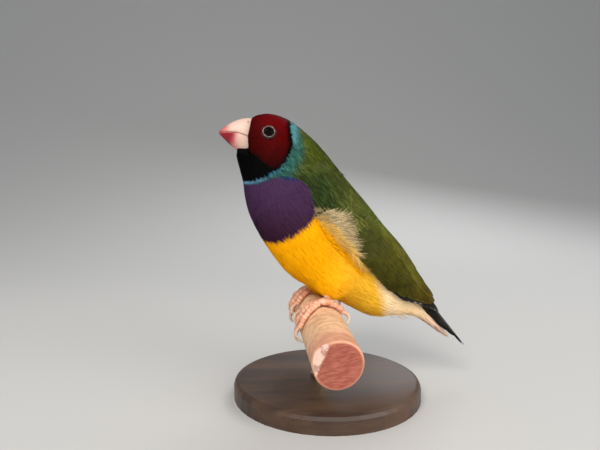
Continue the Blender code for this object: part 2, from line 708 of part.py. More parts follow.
def leg_path(side):
    """Where the leg leaves the toes, where it enters the belly feathers, and its direction."""
    start = hub(side * FOOT_SPREAD)
    ahead = np.array(LEG_LEAN)
    ahead = ahead / np.linalg.norm(ahead)
    height = LEG_ENTERS_BELLY_AT[0 if side < 0 else 1] - start[2]
    return start, start + ahead * height / ahead[2], ahead


def cut_leg_hollows(torso, bird):
    """The feathers part round each leg, and the far foot rises into them."""
    cutters = []
    for side in (-1, 1):
        start, entry, _ = leg_path(side)
        cutters.append(ball("hollow", entry, LEG_HOLLOW, "foot_skin", bird, 12, 8))
        cutters.append(ball("foot_room", start, 1.0, "foot_skin", bird, 12, 8, np.array(HUB_SIZE) + GAP * 1.3))
        path, radii, _ = toe_path(side, *TOES[0][1:])
        cutters.append(swept("toe_room", path, radii + GAP * 1.6, "foot_skin", bird, 10))
    combine(torso, "DIFFERENCE", cutters)
    shade(torso)


def make_leg(bird, side, name):
    """The short stretch of tarsus that shows between the toes and the belly feathers."""
    start, entry, ahead = leg_path(side)
    dome = LEG_HOLLOW - GAP
    path, radii = [start], [TARSUS_RADIUS * 1.3]
    for share in (0.5, 0.75, 1.0):
        path.append(start + (entry - start) * share)
        radii.append(TARSUS_RADIUS)
    for radius in (1.0, 0.7, 0.35):
        radii.append(TARSUS_RADIUS * radius)
        path.append(entry + ahead * math.sqrt(dome**2 - (TARSUS_RADIUS * radius) ** 2))
    leg = swept("leg_" + name, path, radii, "foot_skin", bird, 10)
    clear = np.array(HUB_SIZE) + GAP
    combine(leg, "DIFFERENCE", [ball("foot_cutter", start, 1.0, "foot_skin", bird, 12, 8, clear)])
    shade(leg)


def make_perch(bird):
    """The peg, a plain turned length of branch with rounded rims."""
    bevel = 0.6
    ends = (PERCH_NEAR_END, PERCH_FAR_END)
    places = [ends[0], ends[0] + bevel / 3, ends[0] + bevel, ends[1] - bevel, ends[1] - bevel / 3, ends[1]]
    sizes = [PERCH_RADIUS - r for r in (bevel, bevel / 3, 0, 0, bevel / 3, bevel)]
    angles = np.arange(36) * 2 * math.pi / 36
    rings = [np.array([on_perch(s, a, r) for a in angles]) for s, r in zip(places, sizes)]
    return shade(tube("perch", rings, "peg_wood", bird))


def make_stand(perch):
    """A round base with a rod, whose top is cut to the peg's underside."""
    x, y, z = PERCH_IN_FRAME
    turn = np.arange(48) * 2 * math.pi / 48
    profile = ((BASE_RADIUS, 0), (BASE_RADIUS, BASE_THICKNESS - 1.6), (BASE_RADIUS - 0.5, BASE_THICKNESS - 0.5),
               (BASE_RADIUS - 1.6, BASE_THICKNESS))
    rings = [np.stack([r * np.cos(turn), r * np.sin(turn), np.full(48, h)], 1) for r, h in profile]
    base = tube("stand_base", rings, "stand_wood")
    shade(base, 30)
    low, high = BASE_THICKNESS + GAP, z
    sides = np.arange(20) * 2 * math.pi / 20
    rod_rings = [
        np.stack([x + r * np.cos(sides), r * np.sin(sides), np.full(20, h)], 1)
        for r, h in ((ROD_RADIUS + 1.6, low), (ROD_RADIUS + 1.6, low + 1.0), (ROD_RADIUS, low + 1.8), (ROD_RADIUS, high))
    ]
    rod = tube("stand_rod", rod_rings, "stand_brass")
    combine(rod, "DIFFERENCE", [grown(perch)])
    shade(rod)


def main():
    clear_scene()
    bird = bpy.data.objects.new("bird_on_perch", None)
    bird.location = Vector(PERCH_IN_FRAME) * MM
    bpy.context.scene.collection.objects.link(bird)
    body = Loft(BODY)
    guide = Loft(BODY[:GUIDE_LEAVES_BODY_AT] + WING_GUIDE_REAR)
    bill_cutter = make_bill(bird)
    make_head(bird, body, bill_cutter)
    shade(tube("neck", body.rings(NECK_RINGS, BODY_SIDES), "feather_teal", bird))
    torso = shade(tube("torso", body.rings(TORSO_RINGS, BODY_SIDES), "feather_yellow", bird))
    tail = make_tail(bird, grown(torso))
    make_undertail(bird, grown(torso), tail_room(bird, -1))
    for side, name in ((-1, "left"), (1, "right")):
        make_wing(bird, guide, grown(torso), tail_room(bird, 1), side, "wing_" + name)
    cut_leg_hollows(torso, bird)
    perch = make_perch(bird)
    for side, name in ((-1, "left"), (1, "right")):
        make_foot(bird, side, name)
        make_leg(bird, side, name)
    make_stand(perch)


main()
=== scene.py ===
import math

import bmesh
import bpy
import numpy as np
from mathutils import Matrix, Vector


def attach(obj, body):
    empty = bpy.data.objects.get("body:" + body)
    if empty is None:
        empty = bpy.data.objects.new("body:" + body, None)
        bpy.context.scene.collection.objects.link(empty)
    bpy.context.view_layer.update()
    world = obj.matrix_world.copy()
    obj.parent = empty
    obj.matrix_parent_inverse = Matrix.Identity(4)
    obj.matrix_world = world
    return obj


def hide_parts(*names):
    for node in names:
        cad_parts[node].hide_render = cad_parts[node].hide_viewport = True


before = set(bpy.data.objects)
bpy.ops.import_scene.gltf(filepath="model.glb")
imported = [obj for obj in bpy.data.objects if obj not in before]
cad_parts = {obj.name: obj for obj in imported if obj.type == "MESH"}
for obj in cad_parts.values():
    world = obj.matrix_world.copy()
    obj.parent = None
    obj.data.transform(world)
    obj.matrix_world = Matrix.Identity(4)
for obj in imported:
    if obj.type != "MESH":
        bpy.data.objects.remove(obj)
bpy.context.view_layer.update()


# Skin. The bird's skin runs without a seam from the bill to the tail's root, and it is drawn in from the
# outer line of the plumage by the depth of the feathers. It is stained with the plumage's own markings,
# so that no pale skin shows where the feathers part.
PEG_CENTRE = np.array([-2.0, 5.0, 26.0])
BODY_RINGS = (
    (-25.6, 74.2, -29.6, 65.6, 3.8, 0.10),
    (-24.7, 76.0, -31.1, 62.8, 5.6, 0.12),
    (-21.6, 77.1, -31.0, 60.0, 7.2, 0.16),
    (-18.3, 77.3, -30.3, 57.2, 8.2, 0.18),
    (-15.1, 76.7, -29.6, 54.4, 8.8, 0.16),
    (-12.1, 75.6, -29.0, 51.8, 9.2, 0.10),
    (-9.0, 73.9, -28.7, 48.6, 10.0, 0.04),
    (-4.9, 70.8, -28.2, 44.8, 11.5, 0.0),
    (0.3, 66.0, -27.1, 40.6, 13.3, 0.0),
    (6.8, 58.4, -25.0, 35.4, 15.0, 0.0),
    (13.2, 50.4, -21.6, 29.4, 15.5, -0.02),
    (19.6, 42.4, -17.0, 22.6, 15.6, -0.02),
    (25.2, 35.0, -10.4, 15.6, 15.1, 0.04),
    (29.3, 29.0, -1.2, 10.7, 14.2, 0.10),
    (32.2, 24.6, 9.2, 5.2, 12.6, 0.08),
    (33.8, 21.4, 19.0, 0.6, 10.4, 0.0),
    (34.8, 18.8, 27.6, 0.2, 7.6, 0.0),
)
EYE_IN_PROFILE = (-19.45, 69.0)
EYE_RADIUS = 2.5
EYE_SUNK = 1.75


class Form:
    """A surface of egg-shaped rings on natural cubic curves. Angle 0 is the bird's upper line."""

    def __init__(self, rings):
        self.rings = np.array(rings, float)
        count = len(self.rings)
        system = np.eye(count)
        right = np.zeros_like(self.rings)
        for i in range(1, count - 1):
            system[i, i - 1 : i + 2] = 1, 4, 1
            right[i] = 6 * (self.rings[i - 1] - 2 * self.rings[i] + self.rings[i + 1])
        self.bend = np.linalg.solve(system, right)

    def on(self, u, angle):
        u, angle = np.broadcast_arrays(np.asarray(u, float), np.asarray(angle, float))
        i = np.clip(np.floor(u).astype(int), 0, len(self.rings) - 2)
        t = (u - i)[..., None]
        ring = self.rings[i] * (1 - t) + self.rings[i + 1] * t
        ring += ((1 - t) ** 3 - (1 - t)) * self.bend[i] / 6 + (t**3 - t) * self.bend[i + 1] / 6
        upper_x, upper_z, lower_x, lower_z, width, egg = np.moveaxis(ring, -1, 0)
        along, across = np.cos(angle), np.sin(angle)
        x = (upper_x + lower_x) / 2 + (upper_x - lower_x) / 2 * along
        z = (upper_z + lower_z) / 2 + (upper_z - lower_z) / 2 * along
        return np.stack([x, -width * across * (1 + egg * along), z], -1)

    def slopes(self, u, angle):
        """Which way the surface runs towards the tail and down the left side, per unit of each."""
        step = 1e-3
        back = (self.on(np.asarray(u) + step, angle) - self.on(np.asarray(u) - step, angle)) / (2 * step)
        down = (self.on(u, np.asarray(angle) + step) - self.on(u, np.asarray(angle) - step)) / (2 * step)
        return back, down

    def outward(self, u, angle):
        back, down = self.slopes(u, angle)
        normal = np.cross(down, back)
        return normal / np.linalg.norm(normal, axis=-1, keepdims=True)

    def lifted(self, u, angle, lift):
        return self.on(u, angle) + self.outward(u, angle) * np.asarray(lift, float)[..., None]


def unit(vectors):
    return vectors / np.maximum(np.linalg.norm(vectors, axis=-1, keepdims=True), 1e-9)


def mesh_of(name, points, faces):
    """A mesh from points in the bird's own millimetres."""
    mesh = bpy.data.meshes.new(name)
    mesh.from_pydata((np.asarray(points, float) + PEG_CENTRE) * 0.001, [], faces)
    return mesh


def grid_faces(rows, columns, closed=False):
    """Faces between rows of points, which are joined round each row where it is closed."""
    steps = np.arange(columns if closed else columns - 1)
    row, column = np.meshgrid(np.arange(rows - 1), steps, indexing="ij")
    first = row * columns + column
    second = row * columns + (column + 1) % columns
    return np.stack([first, second, second + columns, first + columns], -1).reshape(-1, 4)


def paint(mesh, name, values, kind="FLOAT"):
    """Stores one value for each point of the mesh. A vector may lack its third number, which is 0."""
    layer = mesh.attributes.new(name, kind, "POINT")
    values = np.asarray(values, np.float32)
    if kind == "FLOAT_COLOR":
        values = np.pad(values, ((0, 0), (0, 1)), constant_values=1)
    elif kind == "FLOAT_VECTOR":
        values = np.pad(values, ((0, 0), (0, 3 - values.shape[1])))
    field = {"FLOAT": "value", "FLOAT_COLOR": "color", "FLOAT_VECTOR": "vector"}[kind]
    layer.data.foreach_set(field, values.ravel())


def unwrap(mesh, corner_uvs):
    layer = mesh.uv_layers.new(name="OFBake")
    layer.data.foreach_set("uv", np.asarray(corner_uvs, np.float32).ravel())


def add(mesh, finish, *nodes):
    """Puts the finished mesh in the scene, riding on the model and standing for the nodes."""
    piece = bpy.data.objects.new(mesh.name, mesh)
    bpy.context.scene.collection.objects.link(piece)
    mesh.materials.clear()
    mesh.materials.append(finish)
    mesh.shade_smooth()
    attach(piece, "root")
    if nodes:
        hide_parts(*nodes)
    return piece


class Value:
    """A socket in a node tree. Arithmetic on it adds Math nodes."""

    def __init__(self, wiring, socket):
        self.wiring = wiring
        self.socket = socket

    def math(self, operation, *values):
        sockets = dict(enumerate(values))
        return self.wiring.node("ShaderNodeMath", {"operation": operation}, sockets)

    def __add__(self, other):
        return self.math("ADD", self, other)

    def __radd__(self, other):
        return self.math("ADD", other, self)

    def __sub__(self, other):
        return self.math("SUBTRACT", self, other)

    def __rsub__(self, other):
        return self.math("SUBTRACT", other, self)

    def __mul__(self, other):
        return self.math("MULTIPLY", self, other)

    def __rmul__(self, other):
        return self.math("MULTIPLY", other, self)


class Wiring:
    """A node tree being wired: node() takes a kind, its settings, and its sockets' values or links."""

    def __init__(self, tree):
        self.tree = tree

    def node(self, kind, settings=(), sockets=(), output=0):
        made = self.tree.nodes.new(kind)
        for name, value in dict(settings).items():
            setattr(made, name, value)
        for key, value in dict(sockets).items():
            socket = made.inputs[key]
            if isinstance(value, Value):
                self.tree.links.new(value.socket, socket)
            else:
                socket.default_value = value
        return Value(self, made.outputs[output])

    def mix(self, factor, first, second, blend="MIX"):
        first, second = [c if isinstance(c, Value) else (*c, 1) for c in (first, second)]
        settings = {"data_type": "RGBA", "blend_type": blend}
        return self.node("ShaderNodeMix", settings, {0: factor, 6: first, 7: second}, 2)

    def place(self):
        """The piece's own coordinates."""
        return self.node("ShaderNodeTexCoord", output=3)

    def mapped(self, place, **how):
        return self.node("ShaderNodeMapping", (), {"Vector": place, **how})

    def noise(self, scale, detail=2.0, place=None, roughness=0.5):
        place = place or self.place()
        sockets = {"Vector": place, "Scale": scale, "Detail": detail, "Roughness": roughness}
        return self.node("ShaderNodeTexNoise", (), sockets)

    def attribute(self, name, output=2):
        return self.node("ShaderNodeAttribute", {"attribute_name": name}, (), output)

    def band(self, value, low, high):
        """0 below low, 1 above high and smooth between."""
        settings = {"interpolation_type": "SMOOTHSTEP"}
        return self.node("ShaderNodeMapRange", settings, {0: value, 1: low, 2: high, 3: 0.0, 4: 1.0})


class Finish(Wiring):
    """A material: constants go straight on its shader's sockets, and feed() links what varies."""

    def __init__(self, name, constants):
        self.material = bpy.data.materials.new(name)
        self.material.use_nodes = True
        super().__init__(self.material.node_tree)
        self.shader = self.tree.nodes["Principled BSDF"]
        for socket, value in constants.items():
            self.shader.inputs[socket].default_value = value

    def feed(self, socket, value):
        self.tree.links.new(value.socket, self.shader.inputs[socket])

    def bump(self, height, strength, distance):
        sockets = {"Strength": strength, "Distance": distance, "Height": height}
        self.feed("Normal", self.node("ShaderNodeBump", (), sockets))


def inside(outline, x, z):
    """True for each point inside the closed outline."""
    outline = np.array(outline, float)
    found = np.zeros(x.shape, bool)
    for (ax, az), (bx, bz) in zip(outline, np.roll(outline, -1, 0)):
        crosses = (az > z) != (bz > z)
        with np.errstate(divide="ignore", invalid="ignore"):
            found ^= crosses & (x < (bx - ax) * (z - az) / (bz - az) + ax)
    return found


def away(line, x, z):
    """Millimetres from each point to the nearest place on an open line."""
    line = np.array(line, float)
    best = np.full(x.shape, 1e9)
    for (ax, az), (bx, bz) in zip(line[:-1], line[1:]):
        dx, dz = bx - ax, bz - az
        t = np.clip(((x - ax) * dx + (z - az) * dz) / (dx * dx + dz * dz), 0, 1)
        best = np.minimum(best, np.hypot(x - ax - t * dx, z - az - t * dz))
    return best


def eased(share):
    return share * share * (3 - 2 * share)


def blend(low, high, share):
    """The low colour where the share is 0, the high one where it is 1, and eased between."""
    share = eased(np.clip(share, 0, 1)[..., None])
    return np.asarray(low, float) * (1 - share) + np.asarray(high, float) * share


CRIMSON = (0.072, 0.0004, 0.0006)
# The crown's red with painted light: brighter, as light and highlights from above.
CROWN_RED_PAINTED_LIGHT = (0.145, 0.002, 0.004)
JET = (0.0012, 0.0010, 0.0014)
THROAT_BLUE = (0.130, 0.320, 0.480)
COLLAR_BLUE = (0.030, 0.115, 0.165)
NAPE_BLUE = (0.092, 0.255, 0.285)
TEAL = (0.028, 0.110, 0.090)
NAPE_GREEN = (0.064, 0.084, 0.007)
BACK_GREEN = (0.115, 0.128, 0.028)
SHOULDER_GREEN = (0.028, 0.047, 0.012)
PURPLE = (0.058, 0.026, 0.072)
# Purple with painted shade, for the breast's lower part.
PURPLE_PAINTED_SHADE = (0.035, 0.011, 0.025)
FRINGE_BLUE = (0.020, 0.040, 0.120)
YELLOW = (0.920, 0.400, 0.001)
YELLOW_LOW = (0.900, 0.490, 0.030)
BEIGE = (0.640, 0.400, 0.110)
BEIGE_GREY = (0.280, 0.215, 0.105)
CREAM = (1.000, 0.770, 0.460)
RUMP_BLUE = (0.110, 0.300, 0.330)
MASK_REAR = (
    (-12.2, 76.8), (-12.2, 74.0), (-12.4, 71.5), (-12.3, 68.8), (-12.3, 66.1), (-12.7, 63.1), (-13.6, 60.5),
    (-14.7, 58.6), (-16.1, 56.8), (-17.8, 56.0),
)
MASK_FRONT = ((-19.2, 56.7), (-21.2, 58.2), (-22.9, 59.7), (-25.0, 61.4), (-26.2, 62.3), (-26.5, 65.0))
BLACK_REAR = (
    (-10.8, 76.5), (-10.9, 73.5), (-11.1, 71.3), (-11.0, 68.9), (-10.8, 66.2), (-10.9, 63.6), (-11.5, 61.7),
    (-12.3, 59.9), (-13.7, 57.7), (-15.5, 55.7), (-17.5, 54.5), (-19.9, 53.2), (-21.6, 52.4), (-23.7, 51.9),
    (-26.1, 51.4), (-28.2, 51.7), (-34.0, 52.4),
)
PURPLE_TOP = (
    (-36.0, 51.7), (-28.2, 50.9), (-26.1, 50.5), (-23.3, 50.8), (-20.6, 51.7), (-18.2, 52.4), (-15.9, 52.8),
    (-13.2, 52.9), (-10.5, 52.3), (-8.4, 51.4), (-7.0, 50.2), (-6.0, 48.6), (-5.2, 46.5), (-4.7, 44.1),
    (-4.2, 42.1), (-3.7, 40.7), (-3.8, 39.3),
)
PURPLE_LOWER = (
    (-4.7, 37.6), (-6.4, 35.5), (-9.8, 32.9), (-12.1, 31.7), (-14.4, 30.3), (-17.0, 29.5), (-21.0, 29.7),
    (-36.0, 31.5),
)
YELLOW_TOP = (
    (-3.9, 39.0), (-1.6, 37.2), (1.2, 34.5), (4.8, 30.0), (8.4, 26.7), (10.6, 23.2), (12.9, 20.8), (16.0, 19.6),
    (21.0, 17.6), (27.0, 15.0), (40.0, 10.0),
)
BELLY = ((-60, 60), *YELLOW_TOP, (60, 0), (60, -60), (-60, -60))
PLUMES_TOP = ((19.0, 20.0), (15.0, 24.0), (12.0, 29.0), (9.0, 34.0), (4.4, 39.5), (1.3, 41.6), (-4.1, 42.1))


def markings(points):
    """The plumage's colour at each point, from its place in the bird's profile, with painted light and shade on
    the red mask and the purple breast.
    """
    x, z = points[..., 0], points[..., 2]
    from_black = away(BLACK_REAR, x, z)
    nape = np.clip((z - 60.0) / 10.0, 0, 1)
    color = blend(BACK_GREEN, NAPE_GREEN, (z - 48) / 16)
    shoulder = np.clip((62 - z) / 12, 0, 1) * np.clip((13 - x) / 14, 0, 1)
    color = blend(color, SHOULDER_GREEN, shoulder)
    color = blend(TEAL, color, (from_black - 1.8) / (5.0 - 2.4 * nape))
    near = blend(NAPE_BLUE, TEAL, (1 - nape) * 1.1)
    near = blend(near, COLLAR_BLUE, (-12 - x) / 5)
    near = blend(near, THROAT_BLUE, (-18.5 - x) / 5)
    color = blend(near, color, (from_black - 0.3 - 1.0 * nape) / (1.1 + 1.6 * nape))
    rump = inside(((28, 40), (27.5, 27), (33.5, 16), (60, 20), (60, 40)), x, z)
    color = np.where(rump[..., None], RUMP_BLUE, color)
    plumes = inside((*YELLOW_TOP[:-2], *PLUMES_TOP), x, z)
    color = np.where(plumes[..., None], blend(BEIGE, BEIGE_GREY, (z - 34) / 5), color)
    belly = inside(BELLY, x, z)
    yellow = blend(YELLOW, YELLOW_LOW, (x + 2) / 20)
    yellow = blend(BEIGE, yellow, away(YELLOW_TOP, x, z) / 1.6 + np.clip((-3 - x) / 2, 0, 1))
    yellow = blend(yellow, CREAM, (x + z * 0.35 - 22.5) / 5.0)
    color = np.where(belly[..., None], yellow, color)
    breast = inside((*PURPLE_TOP, *PURPLE_LOWER), x, z)
    # Painted shade: the purple is painted darker towards the belly, as shade under light from above.
    purple = blend(PURPLE_PAINTED_SHADE, PURPLE, (z - 29) / 20)
    fringe = np.clip(1 - np.hypot((x + 11.5) / 6.5, (z - 52.6) / 1.4), 0, 1) * 1.6
    purple = blend(purple, FRINGE_BLUE, fringe)
    color = np.where(breast[..., None], purple, color)
    black = inside(((-60, 90), *BLACK_REAR, (-60, 52.4)), x, z)
    color = np.where(black[..., None], JET, color)
    mask = inside(((-60, 90), (-12.2, 90), *MASK_REAR, *MASK_FRONT, (-60, 76)), x, z)
    # Painted light and shade: the mask is painted brighter towards the crown, and darker towards the chin and
    # the bill, as shade under light from above.
    red = blend(CRIMSON, CROWN_RED_PAINTED_LIGHT, (z - 67) / 9)
    red = red * (np.interp(z, [56, 66], [0.22, 1.0]) * np.interp(x, [-25, -19], [0.6, 1.0]))[..., None]
    rim = np.minimum(away(MASK_REAR + MASK_FRONT, x, z), 3)
    red = blend(np.asarray(CRIMSON) * 0.3, red, (rim + 0.3) / 1.4)
    return np.where(mask[..., None], red, color)


body = Form(BODY_RINGS)


def eye_place(side):
    """The eye's middle on the form, with its outward direction. Side -1 is the left."""
    u, angle = np.meshgrid(np.linspace(0, 6, 241), np.linspace(0.2, 2.6, 241), indexing="ij")
    points = body.on(u, angle)
    best = np.argmin(np.hypot(points[..., 0] - EYE_IN_PROFILE[0], points[..., 2] - EYE_IN_PROFILE[1]))
    mirror = np.array([1, -side, 1])
    surface = body.on(u.flat[best], angle.flat[best]) * mirror
    outward = body.outward(u.flat[best], angle.flat[best]) * mirror
    return surface, outward


def coat_depth(u):
    """How deep the skin lies under the plumage's outer line, in millimetres."""
    return np.interp(u, [0, 2, 5, 7, 9, 15, 16], [0.35, 0.45, 0.60, 0.85, 1.05, 1.1, 0.9])


BILL_BASE = (
    (-26.4, 61.0), (-26.3, 62.5), (-26.5, 65.5), (-26.7, 67.9), (-26.2, 70.5), (-25.5, 73.7), (-25.2, 76.5),
)


def in_bill(points):
    """True where the face would lie inside the bill, ahead of its base and above the chin."""
    x, z = points[..., 0], points[..., 2]
    base = np.interp(z, [place[1] for place in BILL_BASE], [place[0] for place in BILL_BASE])
    chin = 61.2 - 0.31 * (x + 26.3)
    return (x < base) & (z > chin)


def off_eye(points, side):
    """How far each point is from the eye's axis, with its height along the axis, and the axis."""
    surface, outward = eye_place(side)
    offset = points - surface
    height = offset @ outward
    return np.linalg.norm(offset - height[..., None] * outward, axis=-1), height, outward


FEET = ((0.7, -10.0, 8.4), (0.7, 7.0, 11.0))
LEG_LEAN = unit(np.array((0.38, 0.0, 0.92)))
THIGH_SWELL = 4.2
THIGH_RADIUS = 5.6
THIGH_TOP = 17.0
THIGH_FADES_OVER = 11.0
EYE_HOLLOW_RADIUS = 2.45
EYE_HOLLOW_DEPTH = 1.3


def thigh_swell(points):
    """How far the fluffed thighs stand out of the belly round each leg, in millimetres."""
    swell = np.zeros(points.shape[:-1])
    for foot in FEET:
        offset = points - np.array(foot)
        height = offset @ LEG_LEAN
        across = np.linalg.norm(offset - height[..., None] * LEG_LEAN, axis=-1)
        fade = np.clip((THIGH_TOP - height) / THIGH_FADES_OVER, 0, 1)
        bulge = THIGH_SWELL * np.exp(-((across / THIGH_RADIUS) ** 2))
        swell = np.maximum(swell, bulge * fade * fade * (3 - 2 * fade))
    return swell


def skin_points(u, angle, depth_share=1.0):
    """Points of the skin: under the plumage, hollowed round the eyes and drawn in behind the bill."""
    points = body.on(u, angle)
    lift = thigh_swell(points) - coat_depth(u) * depth_share
    points = points + body.outward(u, angle) * lift[..., None]
    for side in (-1, 1):
        across, height, outward = off_eye(points, side)
        hollow = np.clip((EYE_HOLLOW_RADIUS - across) / 0.5, 0, 1) * (height > -5)
        points = points - outward * (hollow * EYE_HOLLOW_DEPTH)[..., None]
    behind = in_bill(points)
    points[..., 1] *= np.where(behind, 0.55, 1.0)
    points[..., 2] += np.where(behind, (69.0 - points[..., 2]) * 0.25, 0.0)
    return points


def skin_map(u, angle):
    """Where a place of the skin lies on the skin's unwrapping."""
    return np.stack([0.02 + 0.96 * np.asarray(angle) / (2 * math.pi), 0.02 + 0.93 * np.asarray(u) / 16.0], -1)


def plumage_finish(name, roughness=0.70, streak=0.12, barbs=0.13):
    """Barbs of one colour, each a little lighter or darker than its neighbours and darker at its root."""
    finish = Finish(name, {"Specular IOR Level": 0.03})
    tint = finish.attribute("tint", 0)
    barb = finish.attribute("barb")
    along = finish.attribute("along")
    patches = finish.noise(260.0, 3.0)
    light = 0.94 + barbs * (barb - 0.5) + 0.06 * along + 0.20 * (patches - 0.5)
    light = light + streak * (finish.attribute("tone") - 0.5)
    shade = finish.node("ShaderNodeCombineColor", (), {0: light, 1: light, 2: light})
    finish.feed("Base Color", finish.mix(1.0, tint, shade, "MULTIPLY"))
    finish.feed("Roughness", roughness - 0.16 * barb)
    return finish.material


def stain(mesh, tints):
    """Markings for a smooth piece, which has no barbs of its own."""
    paint(mesh, "tint", tints, "FLOAT_COLOR")
    paint(mesh, "barb", np.full(len(mesh.vertices), 0.5))
    paint(mesh, "along", np.full(len(mesh.vertices), 0.4))


ring_places = np.linspace(0.0, 16.0, 241)
sides = 144
angles = np.arange(sides) * 2 * math.pi / sides
grid_u, grid_angle = np.meshgrid(ring_places, angles, indexing="ij")
points = skin_points(grid_u, grid_angle).reshape(-1, 3)
caps = [list(range(sides - 1, -1, -1)), list(range(len(points) - sides, len(points)))]
skin = mesh_of("skin", points, grid_faces(len(ring_places), sides, closed=True).tolist() + caps)
stain(skin, markings(points) * 0.95)
ring, side_step = np.meshgrid(np.arange(len(ring_places) - 1), np.arange(sides), indexing="ij")
places = np.stack([ring, ring, ring + 1, ring + 1], -1).reshape(-1)
turns = np.stack([side_step, side_step + 1, side_step + 1, side_step], -1).reshape(-1) * 2 * math.pi / sides
wall_uvs = skin_map(ring_places[places], turns)
cap_uvs = [np.stack([x + 0.008 * np.cos(angles), 0.985 + 0.008 * np.sin(angles)], -1) for x in (0.3, 0.6)]
unwrap(skin, np.concatenate([wall_uvs, *cap_uvs]))
soft_plumage = plumage_finish("soft_plumage")
add(skin, soft_plumage, "head", "neck", "torso")


# Body feathers. Each is a small vane whose barbs part towards its tip. They are rooted in the skin, lie
# towards the tail and overlap like tiles, short and dense on the face and longer and looser below.
def loose_feather(name, points, faces, along, tone):
    """A single feather for setting many times. Its spot is its place on the map, from its own middle."""
    mesh = bpy.data.meshes.new(name)
    mesh.from_pydata(points, [], faces)
    paint(mesh, "along", along)
    paint(mesh, "barb", tone)
    flat = np.array(points)[:, :2] - np.array([0.0, 0.5])
    paint(mesh, "spot", flat, "FLOAT_VECTOR")
    mesh.shade_smooth()
    feather = bpy.data.objects.new(name, mesh)
    bpy.context.scene.collection.objects.link(feather)
    return feather


# How full a barb is at each share of its length.
BARB_FULLNESS = ((0.0, 1.0), (0.36, 1.0), (0.70, 0.72), (1.0, 0.0))


def barbed_feather(name, barbs, spread, droop, raggedness, seed, base):
    """A feather 1 long and 1 wide made of tapering barbs, as wide at its base and tip as base and spread."""
    random = np.random.default_rng(seed)
    points, faces, along, tone = [], [], [], []
    for k in range(barbs):
        side = (k + 0.5) / barbs * 2 - 1
        reach = (1 - 0.34 * side * side) * (1 - raggedness * random.random())
        thick = 0.5 * (2.6 / barbs) * random.uniform(0.8, 1.1)
        bright = random.random()
        turn = random.uniform(-0.12, 0.12)
        start = len(points)
        for t, fullness in BARB_FULLNESS:
            x = 0.5 * side * (base + (spread - base) * t**0.8) + 0.03 * random.uniform(-1, 1) * t
            y = reach * t
            z = droop * math.sin(math.pi * t) - 0.10 * side * side - 0.05 * t * t
            half = thick * fullness * 0.5
            pair = [(x - half, y, z - turn * half), (x + half, y, z + turn * half)]
            pair = pair if fullness else [(x, y, z)]
            points += pair
            along += [t] * len(pair)
            tone += [bright] * len(pair)
        faces += [(start, start + 1, start + 3, start + 2), (start + 2, start + 3, start + 5, start + 4)]
        faces.append((start + 4, start + 5, start + 6))
    return loose_feather(name, points, faces, along, tone)


SPOT_ON_MAP = 0.003
MOST_PER_SQUARE_METRE = 6e6


def plumage_nodes():
    """Sets a feather at scattered points of a bed, along its lie, and gives each its place on the map."""
    tree = bpy.data.node_groups.new("plumage", "GeometryNodeTree")
    for name, kind in (
        ("Bed", "NodeSocketGeometry"),
        ("Feather", "NodeSocketObject"),
        ("Spacing", "NodeSocketFloat"),
        ("Width", "NodeSocketFloat"),
        ("Pitch", "NodeSocketFloat"),
        ("Unevenness", "NodeSocketFloat"),
        ("Seed", "NodeSocketInt"),
        ("Finish", "NodeSocketMaterial"),
    ):
        tree.interface.new_socket(name, in_out="INPUT", socket_type=kind)
    tree.interface.new_socket("Coat", in_out="OUTPUT", socket_type="NodeSocketGeometry")
    coat = Wiring(tree)
    entry = tree.nodes.new("NodeGroupInput")

    def given(name):
        return Value(coat, entry.outputs[name])

    def named(name, kind):
        return coat.node("GeometryNodeInputNamedAttribute", {"data_type": kind}, {"Name": name})

    scattered = coat.node(
        "GeometryNodeDistributePointsOnFaces",
        {"distribute_method": "POISSON"},
        {"Mesh": given("Bed"), "Distance Min": given("Spacing"), "Density Max": MOST_PER_SQUARE_METRE,
         "Density Factor": named("cover", "FLOAT"), "Seed": given("Seed")},
    )
    normal = Value(coat, scattered.socket.node.outputs["Normal"])
    facing = coat.node(
        "FunctionNodeAxesToRotation",
        {"primary_axis": "Z", "secondary_axis": "Y"},
        {"Primary Axis": normal, "Secondary Axis": named("lie", "FLOAT_VECTOR")},
    )

    def random(low, high, seed):
        sockets = {2: low, 3: high, "Seed": seed}
        return coat.node("FunctionNodeRandomValue", {"data_type": "FLOAT"}, sockets, 1)

    uneven = given("Unevenness")
    twist = random(-1.0, 1.0, given("Seed") + 1) * uneven * 0.5
    pitch = given("Pitch") + random(-1.0, 1.0, given("Seed") + 2) * uneven * 0.16
    turn = coat.node("ShaderNodeCombineXYZ", (), {0: pitch, 1: 0.0, 2: twist})
    turned = coat.node("FunctionNodeRotateRotation", {"rotation_space": "LOCAL"}, {0: facing, 1: turn})
    length = named("length", "FLOAT") * (1 + random(-1.0, 1.0, given("Seed") + 3) * uneven * 0.22)
    size = coat.node("ShaderNodeCombineXYZ", (), {0: length * given("Width"), 1: length, 2: length})
    feather = coat.node("GeometryNodeObjectInfo", (), {"Object": given("Feather")}, 4)
    sockets = {"Points": scattered, "Instance": feather, "Rotation": turned, "Scale": size}
    placed = coat.node("GeometryNodeInstanceOnPoints", (), sockets)
    toned = coat.node(
        "GeometryNodeStoreNamedAttribute",
        {"data_type": "FLOAT", "domain": "INSTANCE"},
        {"Geometry": placed, "Name": "tone", "Value": random(0.0, 1.0, given("Seed") + 4)},
    )
    whole = coat.node("GeometryNodeRealizeInstances", (), {"Geometry": toned})
    small = coat.node(
        "ShaderNodeVectorMath",
        {"operation": "SCALE"},
        {0: named("spot", "FLOAT_VECTOR"), "Scale": SPOT_ON_MAP},
    )
    spot = coat.node("ShaderNodeVectorMath", {"operation": "ADD"}, {0: named("root", "FLOAT_VECTOR"), 1: small})
    mapped = coat.node(
        "GeometryNodeStoreNamedAttribute",
        {"data_type": "FLOAT2", "domain": "CORNER"},
        {"Geometry": whole, "Name": "OFBake", "Value": spot},
    )
    dressed = coat.node("GeometryNodeSetMaterial", (), {"Geometry": mapped, "Material": given("Finish")})
    tree.links.new(dressed.socket, tree.nodes.new("NodeGroupOutput").inputs[0])
    return tree


plumage = plumage_nodes()


